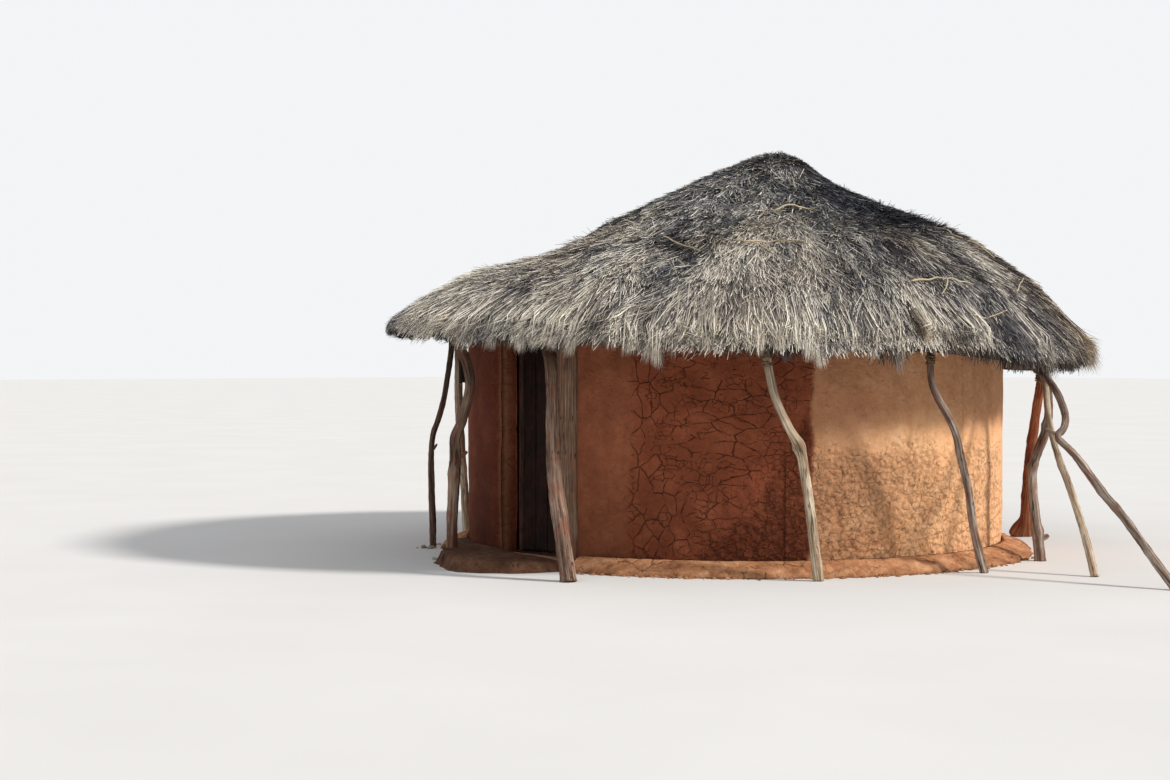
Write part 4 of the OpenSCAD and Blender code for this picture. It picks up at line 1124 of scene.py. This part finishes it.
def blades(root, tip, width, roll, shade, warm):
    """Straight tapered straws, with painted shade at the buried root and a painted highlight at the tip."""
    along = unit(tip - root, 1e-6)
    side = unit(np.stack([along[:, 1], -along[:, 0], np.zeros(len(root))], 1), 1e-3)
    return strips((root, root, tip, tip), width, roll, side, along, (-1, 1, 0.45, -0.45), [(0, 1, 2, 3)],
                  (shade * 0.4, shade * 0.4, shade * 1.15, shade * 1.15), (warm,) * 4)


def ribbons(root, middle, tip, width, roll, shade, warm):
    """Tapered straws that bend over a middle point and end in a point, with painted shade at the root."""
    along = unit(tip - root, 1e-6)
    side = unit(np.cross(along, [0.0, 0.0, 1.0]), 1e-3)
    return strips((root, root, middle, middle, tip), width, roll, side, along, (-1, 1, -0.8, 0.8, 0),
                  [(0, 1, 3, 2), (2, 3, 4)], (shade * 0.5, shade * 0.5, shade, shade, shade * 0.95),
                  (warm * 0.8, warm * 0.8, warm, warm, warm * 1.2))


def grass_tone(x, y, b, share):
    """Brightness and warmth of the grass: bleached low down, dark and tangled above, tan at the right, with
    painted shade in the ruts, painted light on the ridges, and painted shade on the left end's face and in
    the gap in the eave.

    b is the signed bearing, and share how far down the roof the place is."""
    p = flat(x, y)
    line = 0.49 + 0.07 * noise(p, 0.5, 81, 2) + 0.03 * noise(p, 0.15, 82, 2)
    low = step(-0.03, 0.05, share - line)
    down, _ = down_slope(x, y)
    # Painted shade in the ruts and painted light on the ridges, from the same noise as the ruts, with finer
    # dark gaps between the locks.
    rut_shade_and_light = (0.46 * noise(down, 0.26, 73, 2) + 0.46 * noise(down, 0.11, 74, 2)
               + 0.3 * noise(down, 0.055, 75, 2))
    tone = 0.37 + 0.27 * low + 0.24 * noise(p, 0.35, 83, 2) + rut_shade_and_light * (0.5 + 0.7 * low)
    tone += 0.05 * step(0.7, 0.9, share) + 0.08 * band(-95, -60, 5, 25, b)
    right_end = 1 - step(150, 178, b)
    tone -= (0.14 * step(58, 80, b) + 0.16 * step(84, 108, b)) * right_end
    tone *= 1 - 0.33 * step(62, 100, b) * right_end
    # Painted shade on the face of the left end and in the gap in the eave; the straw in the gap is also
    # redder in its own colour.
    shaded_end_face = band(-85, -66, -36, -27, b) * step(0.84, 0.9, share)
    eave_gap_shade = np.exp(-((b - 71) / 2.6) ** 2) * step(0.9, 0.95, share)
    contrast = 1.3
    tone = (0.5 + contrast * (tone - 0.5)) * (1 - 0.8 * shaded_end_face) * (1 - 0.8 * eave_gap_shade)
    tanned = band(95, 128, 165, 180, b)
    warm = 0.22 + 0.08 * low + 0.45 * tanned + 0.2 * noise(p, 0.6, 85, 2) + 0.4 * eave_gap_shade - 0.2 * shaded_end_face
    return tone, warm


def lay_tufts(roof, rng, count, per_tuft, inner, outer, length, rise, yaw, width):
    """Loose straws that lie down the roof in small tufts, between two shares of the way down."""
    share = np.sqrt(rng.uniform(inner ** 2, outer ** 2, count))
    turn = rng.uniform(0, 2 * math.pi, count)
    way = np.stack([np.cos(turn), np.sin(turn)], 1)
    bearing = bearing_of(way[:, 0], way[:, 1])
    edge = roof.reach(bearing)
    forwards = way @ CROWN
    far = np.sqrt(forwards * forwards - CROWN @ CROWN + edge * edge) - forwards
    centre = CROWN + way * (share * far)[:, None]
    p = flat(*centre.T)
    swing = 0.5 * noise(p, 0.5, 86, 2) + 0.4 * noise(p, 0.17, 87, 2) + yaw * rng.normal(0, 1, count)
    size = length * rng.uniform(0.55, 1.3, count)
    height = rise * rng.uniform(0.1, 1.5, count)
    tone, warm = grass_tone(*centre.T, bearing, share)
    tone += 0.14 * rng.normal(0, 1, count)
    warm += 0.12 * rng.normal(0, 1, count)
    half = rng.uniform(0.012, 0.04, count)

    # From here on every value is of a straw, and k is its tuft.
    k = np.repeat(np.arange(count), per_tuft)
    n = len(k)
    u = rng.normal(0, 1, n)
    a = swing[k] + rng.normal(0, 0.16, n)
    direction = way[k] * np.cos(a)[:, None] + crosswise(way[k]) * np.sin(a)[:, None]
    long = size[k] * rng.uniform(0.5, 1.2, n)
    root = (centre[k] + crosswise(direction) * (u * half[k])[:, None]
            + direction * (rng.normal(0, 0.25, n) * size[k])[:, None])
    root_edge = roof.reach(bearing_of(*root.T)) - 0.03
    root = root * np.minimum(1, root_edge / np.maximum(np.hypot(*root.T), 0.01))[:, None]
    tip = root + direction * long[:, None]
    tip_r = np.hypot(*tip.T)
    tip_bearing = bearing_of(*tip.T)
    over = np.maximum(0, tip_r - roof.reach(tip_bearing) + 0.03 * rng.uniform(-0.6, 1.0, n))
    far_left = band(-100, -80, -30, -15, tip_bearing)
    kept = np.minimum(over, 0.11 * rng.uniform(0.2, 1.0, n)) * (1 - 0.8 * far_left)
    tip = tip * ((tip_r - over + 0.4 * kept) / tip_r)[:, None]
    h = height[k] * np.exp(-0.5 * u * u) * rng.uniform(0.3, 1.4, n)
    h = np.where(rng.uniform(0, 1, n) < 0.03, h + 0.6 * rise, h)
    z0 = roof.height(*root.T) - 0.016
    z1 = roof.height(*tip.T) + h - 0.002 - 0.6 * kept
    shade = np.clip(tone[k] * (1 + 0.62 * rng.normal(0, 1, n)), 0.02, 1)
    return blades(np.column_stack([root, z0]), np.column_stack([tip, z1]), width * rng.uniform(0.6, 1.4, n),
                  rng.uniform(-0.8, 0.8, n), shade, np.clip(warm[k], 0, 1))


def hangs_to(bearing, lip):
    """Height down to which the fringe hangs: as in the photograph where it shows, else by the eave's lip."""
    b = signed(bearing)
    seen = (b > EAVE_TIPS[0][0]) & (b < EAVE_TIPS[-1][0])
    wanted = np.interp(b, *zip(*EAVE_TIPS))
    return np.where(seen, wanted, lip - 0.19 - 0.07 * noise(at(bearing, EAVE_R, 0.0), 0.3, 41, 2))


def eave_clumps(roof, rng, spacing, filled, raised):
    """Clumps in a row along the eave: bearing, half width, lowest tip, sideways lean."""
    bearing, half = [], []
    start = 0.0
    while start < 360:
        w = spacing * rng.uniform(0.55, 1.5)
        bearing.append(start + math.degrees(w / 2 / EAVE_R))
        half.append(w / 2)
        start += math.degrees(w / EAVE_R)
    bearing, half = np.array(bearing), np.array(half)
    lean = 0.1 * noise(at(bearing, EAVE_R, 1.0), 0.45, 42, 2)
    low = hangs_to(bearing, roof.lip(bearing)) + raised
    return bearing, half * filled, low, lean + rng.normal(0, 0.05, len(bearing))


def hang_fringe(roof, rng, clumps, count, back, shorter, pulled, width):
    """Straws that run down over the eave and hang in clumps, each drawn together to a ragged point."""
    bearing_c, half_c, low_c, lean_c = clumps
    short_c = shorter * (rng.uniform(0, 1, len(half_c)) ** 1.3 - 0.35)
    tone_c = 0.13 * rng.normal(0, 1, len(half_c))
    forward_c = rng.uniform(-0.05, 0.02, len(half_c))
    spread_c = rng.uniform(0.3, 1.3, len(half_c))
    k = rng.choice(len(half_c), count, p=half_c / half_c.sum())
    u = np.clip(rng.normal(0, 0.6, count), -1.5, 1.5)
    bearing = bearing_c[k] + np.degrees(u * half_c[k] / EAVE_R)
    b = signed(bearing)
    streaming = band(96, 112, 150, 165, b)
    out = at(bearing, 1.0, 0.0)[:, :2]
    cross = crosswise(out)
    edge = roof.reach(bearing) - 0.05 * band(-75, -60, -20, -5, b)
    root_out = edge - back * rng.uniform(0.1, 1.0, count)
    root = out * root_out[:, None] + cross * rng.normal(0, 0.015, count)[:, None]
    pull = np.clip(-pulled * spread_c[k] * u * half_c[k] + lean_c[k], -0.2, 0.2) + rng.normal(0, 0.02, count)
    way_out = edge + forward_c[k] - 0.03 + rng.uniform(-0.05, 0.02, count)
    middle = out * way_out[:, None] + cross * (0.35 * pull)[:, None]
    tip_out = way_out + rng.uniform(0.02, 0.1, count) + 0.08 * streaming * rng.uniform(0, 1, count)
    tip = out * tip_out[:, None] + cross * pull[:, None]
    root_z = roof.height(*root.T) + rng.uniform(-0.025, 0.008, count)
    middle_z = np.minimum(roof.lip(bearing) - 0.015 + 0.03 * rng.normal(0, 1, count), root_z - 0.01)
    ragged = np.abs(rng.normal(0, 0.055, count)) * (0.3 + rng.uniform(0, 1.2, len(half_c))[k])
    tip_z = low_c[k] + short_c[k] + 0.11 * np.abs(u) ** 1.5 + ragged
    tip_z = np.minimum(tip_z, middle_z - 0.02)
    tone, warm = grass_tone(*root.T, b, np.full(count, 0.98))
    tone = (tone - 0.02 + tone_c[k]) * (1 + 0.58 * rng.normal(0, 1, count))
    return ribbons(np.column_stack([root, root_z]), np.column_stack([middle, middle_z]),
                   np.column_stack([tip, tip_z]), width * rng.uniform(0.6, 1.4, count),
                   rng.uniform(-0.9, 0.9, count), np.clip(tone, 0.02, 1), np.clip(warm + 0.08, 0, 1))


def hang_under(roof, rng, count):
    """Ends that hang from the underside, in front of the eave beams, dark as painted shade under the eave.
    """
    bearing = rng.uniform(0, 360, count)
    out = at(bearing, 1.0, 0.0)[:, :2]
    r = np.minimum(rng.uniform(BEAM_R + 0.05, BEAM_R + 0.2, count), roof.reach(bearing) - 0.03)
    lip = roof.lip(bearing)
    beam = top_at(bearing, BEAM_R) - BEAM_BELOW
    place = flat(*(out * EAVE_R).T)
    ragged = 0.09 * noise(place, 0.16, 51, 2) + 0.06 * noise(place, 0.05, 52, 2)
    top = np.maximum(lip - 0.1, beam + 0.08)
    low = np.maximum(beam - 0.09, hangs_to(bearing, lip) + 0.02) + 0.6 * ragged
    low = np.minimum(low + np.abs(rng.normal(0, 0.035, count)), top - 0.06)
    root = np.column_stack([out * r[:, None], top])
    tip = np.column_stack([out * (r + rng.uniform(-0.02, 0.03, count))[:, None]
                           + crosswise(out) * rng.normal(0, 0.05, count)[:, None], low])
    # Dark as painted shade; the brown warmth is the straw's own colour.
    shade = np.clip(rng.normal(0.2, 0.1, count), 0.02, 1)
    return blades(root, tip, 0.009 * rng.uniform(0.6, 1.4, count), rng.uniform(-0.9, 0.9, count), shade,
                  np.clip(rng.normal(0.6, 0.2, count), 0, 1))


def make_bed(name, roof):
    """A course's packed grass: its CAD faces cut finer, its top moved with the straw, its rim tucked in."""
    mesh = NODES[name].data.copy()
    mesh.name = "bed_" + name
    bm = bmesh.new()
    bm.from_mesh(mesh)
    bmesh.ops.remove_doubles(bm, verts=bm.verts, dist=1e-5)
    bmesh.ops.subdivide_edges(bm, edges=bm.edges, cuts=2, use_grid_fill=True)
    bm.normal_update()
    x, y, z = np.array([v.co for v in bm.verts]).T
    upward = np.array([v.normal.z for v in bm.verts])
    edge = roof.reach(bearing_of(x, y))
    near_top = np.maximum(step(0.15, 0.5, upward), step(-0.07, -0.015, z - roof.height(x, y, roof.top)))
    push = near_top * (relief(x, y) + droop(x, y, edge) - 0.024)
    r = np.hypot(x, y)
    tucked = 1 - 0.07 * step(-0.14, -0.02, r - edge) / np.maximum(r, 0.1)
    for v, move, scale in zip(bm.verts, push, tucked):
        v.co = (v.co.x * scale, v.co.y * scale, v.co.z + move)
    bm.to_mesh(mesh)
    bm.free()
    mesh.polygons.foreach_set("use_smooth", np.ones(len(mesh.polygons), bool))
    add_piece("bed_" + name, mesh, BED, "hut", (name,))


# Loose straw on the roof. Each set: tufts, straws in a tuft, from and to which share of the way
# down, length, rise over the bed, wander of the direction in radians, width of a straw.
LAYERS = {
    "straw_cap": [(900, 10, 0.0, 0.12, 0.16, 0.02, 1.2, 0.0075),
                  (1700, 10, 0.03, 0.25, 0.2, 0.022, 0.45, 0.0078)],
    "straw_upper": [(3300, 10, 0.2, 0.52, 0.22, 0.02, 0.45, 0.0075),
                    (1500, 6, 0.2, 0.58, 0.16, 0.036, 1.2, 0.007),
                    (700, 14, 0.43, 0.53, 0.19, 0.055, 0.5, 0.007)],
    "straw_middle": [(6100, 10, 0.44, 0.745, 0.32, 0.026, 0.24, 0.007)],
    "straw_lower": [(8700, 10, 0.695, 0.975, 0.34, 0.03, 0.2, 0.007)],
}
# Clumps of the eave's fringe. Each set: spacing, filled share of it, how far raised.
CLUMPS = [(0.22, 0.9, 0.015), (0.09, 1.0, 0.05), (0.42, 0.45, -0.04)]
# Its straws, by the same sets: count, how far back they root, how much shorter some clumps are,
# how much they are pulled together, width of a straw.
FRINGE = [(14500, 0.5, 0.16, 1.0, 0.007), (21000, 0.35, 0.1, 0.8, 0.0065), (8500, 0.5, 0.12, 1.0, 0.007)]
UNDER = 7500


def make_thatch():
    roof = Roof()
    for name in COURSES:
        make_bed(name, roof)
    rng = np.random.default_rng(7)
    share = 1.0
    pieces = {name: [lay_tufts(roof, rng, int(s[0] * share), *s[1:]) for s in sets]
              for name, sets in LAYERS.items()}
    clumps = [eave_clumps(roof, rng, *c) for c in CLUMPS]
    fringe = [hang_fringe(roof, rng, c, int(f[0] * share), *f[1:]) for c, f in zip(clumps, FRINGE)]
    pieces["straw_fringe"] = fringe + [hang_under(roof, rng, int(UNDER * share))]
    for name, parts in pieces.items():
        verts, faces, tint = joined(parts)
        build(name, verts, faces, STRANDS, tint=tint, smooth=False)
    make_stalks(roof)


# Door

def make_planks():
    """The door's planks, in the leaf's own place beside its pivot and then turned ajar."""
    gap, drop_each, short = 0.004, 0.006, 0.006

    def in_leaf(p, _):
        q = p.copy()
        c, s = math.cos(DOOR_AJAR), math.sin(DOOR_AJAR)
        q[:, 0] = DOOR_PIVOT[0] + p[:, 0] * c - p[:, 1] * s
        q[:, 1] = DOOR_PIVOT[1] + p[:, 0] * s + p[:, 1] * c
        return q

    low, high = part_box("door_planks")
    width = (PLANKS_TO - PLANKS_FROM + gap) / PLANKS
    for i in range(PLANKS):
        x0 = PLANKS_FROM + i * width
        drop = drop_each * (i % 2)
        swept_block(f"plank_{i + 1}", (x0, -PLANK_T / 2, low[2] + drop),
                    (x0 + width - gap, PLANK_T / 2, high[2] - short + drop), (8, 3, 60), 0.003, 20 + i,
                    SHADED_DOOR_WOOD, "door", ("door_planks",) if i == 0 else (), in_leaf)


def make_jamb():
    """The wide hewn post at the doorway's right."""
    low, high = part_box("door_jamb")

    def hewn(p, share):
        q = p.copy()
        z = p[:, 2]
        centre = (low.x + high.x) / 2
        taper = 1 - 0.1 * step(0.2, 1.7, z) + 0.06 * noise(np.column_stack([z * 0, z * 0, z]), 0.4, 61, 2)
        q[:, 0] = centre + (p[:, 0] - centre) * np.clip(taper, 0.8, 1.0)
        ridge = noise(np.column_stack([p[:, 0], z * 0, z * 0.08]), 0.022, 62, 3)
        q[:, 1] += np.where(share[:, 1] < 0.001, 0.006 * ridge + 0.004, 0)
        return q

    swept_block("jamb_post", low, high, (30, 6, 90), 0.004, 33, JAMB_WOOD,
                replaces=("door_jamb",), shape=hewn)


def dress_nodes():
    """Materials for the CAD nodes that stay as they are."""
    looks = {SHADED_ROOF_WOOD: ("eave_beams", "rafters", "battens", "crown_hoop"),
             FRAME_WOOD: ("door_lintel", "door_sill", "door_ledges", "door_stile"),
             EARTH: ("floor",), BENCH: ("rafter_beds",)}
    for material, names in looks.items():
        for name in names:
            mesh = NODES[name].data
            mesh.materials.clear()
            mesh.materials.append(material)


# Studio

def link(name, data):
    obj = bpy.data.objects.new(name, data)
    bpy.context.scene.collection.objects.link(obj)
    return obj


def make_camera():
    """A camera where the photograph's one stood, level with its horizon."""
    data = bpy.data.cameras.new("camera")
    data.sensor_width = 36
    data.lens = data.sensor_width * FOCAL_PX / PICTURE_PX
    data.clip_end = 500
    camera = link("camera", data)
    forward = Vector(FORWARD).normalized()
    pitch = math.atan(HORIZON_PX / FOCAL_PX)
    aim = Vector((forward.x * math.cos(pitch), forward.y * math.cos(pitch), -math.sin(pitch)))
    camera.location = CAMERA_AT
    camera.rotation_euler = aim.to_track_quat("-Z", "Y").to_euler()
    bpy.context.scene.camera = camera


def make_world():
    """Soft light from all round, behind which camera, glossy and transmission rays see a plain grey."""
    world = bpy.data.worlds.new("studio")
    bpy.context.scene.world = world
    world.use_nodes = True
    tree = world.node_tree
    background = tree.nodes["Background"]
    background.inputs["Color"].default_value = (0.93, 0.95, 1.0, 1)
    background.inputs["Strength"].default_value = 0.55
    seen = tree.nodes.new("ShaderNodeBackground")
    seen.inputs["Color"].default_value = (0.9, 0.91, 0.92, 1)
    path = tree.nodes.new("ShaderNodeLightPath")
    pick = tree.nodes.new("ShaderNodeMixShader")
    plain = path.outputs["Is Camera Ray"]
    for ray in ("Is Glossy Ray", "Is Transmission Ray"):
        either = tree.nodes.new("ShaderNodeMath")
        either.operation = "MAXIMUM"
        tree.links.new(plain, either.inputs[0])
        tree.links.new(path.outputs[ray], either.inputs[1])
        plain = either.outputs[0]
    tree.links.new(plain, pick.inputs["Fac"])
    tree.links.new(background.outputs[0], pick.inputs[1])
    tree.links.new(seen.outputs[0], pick.inputs[2])
    tree.links.new(pick.outputs[0], tree.nodes["World Output"].inputs["Surface"])


def make_lamp(name, right, forward, up, size, energy, colour):
    """A sun that shines from shares of the photograph's right, its forward direction and up."""
    data = bpy.data.lights.new(name, "SUN")
    data.energy = energy
    data.angle = math.radians(size)
    data.color = colour
    towards = Vector(RIGHT) * right + Vector(FORWARD).normalized() * forward + Vector((0, 0, up))
    link(name, data).rotation_euler = (-towards.normalized()).to_track_quat("-Z", "Y").to_euler()


def make_floor():
    half = 150
    mesh = bpy.data.meshes.new("studio_floor")
    mesh.from_pydata([(-half, -half, 0), (half, -half, 0), (half, half, 0), (-half, half, 0)], [],
                     [(0, 1, 2, 3)])
    n = Nodes("studio_floor", roughness=0.95, specular=0.05)
    soft = n.noise(n.place(), 0.6, 2.0)
    mesh.materials.append(n.finish(n.colours(soft, (0.3, (0.70, 0.69, 0.67)), (0.7, (0.73, 0.72, 0.7)))))
    link("studio_floor", mesh)


bpy.context.scene.view_settings.view_transform = "Standard"
make_camera()
make_world()
make_lamp("key", 0.93, -0.34, 0.66, 8, 3.6, (1.0, 0.965, 0.92))
make_lamp("fill", -0.5, -0.9, 0.6, 40, 0.45, (0.94, 0.97, 1.0))
make_floor()
make_wall()
make_base()
make_posts()
make_lashings()
make_thatch()
make_planks()
make_jamb()
dress_nodes()
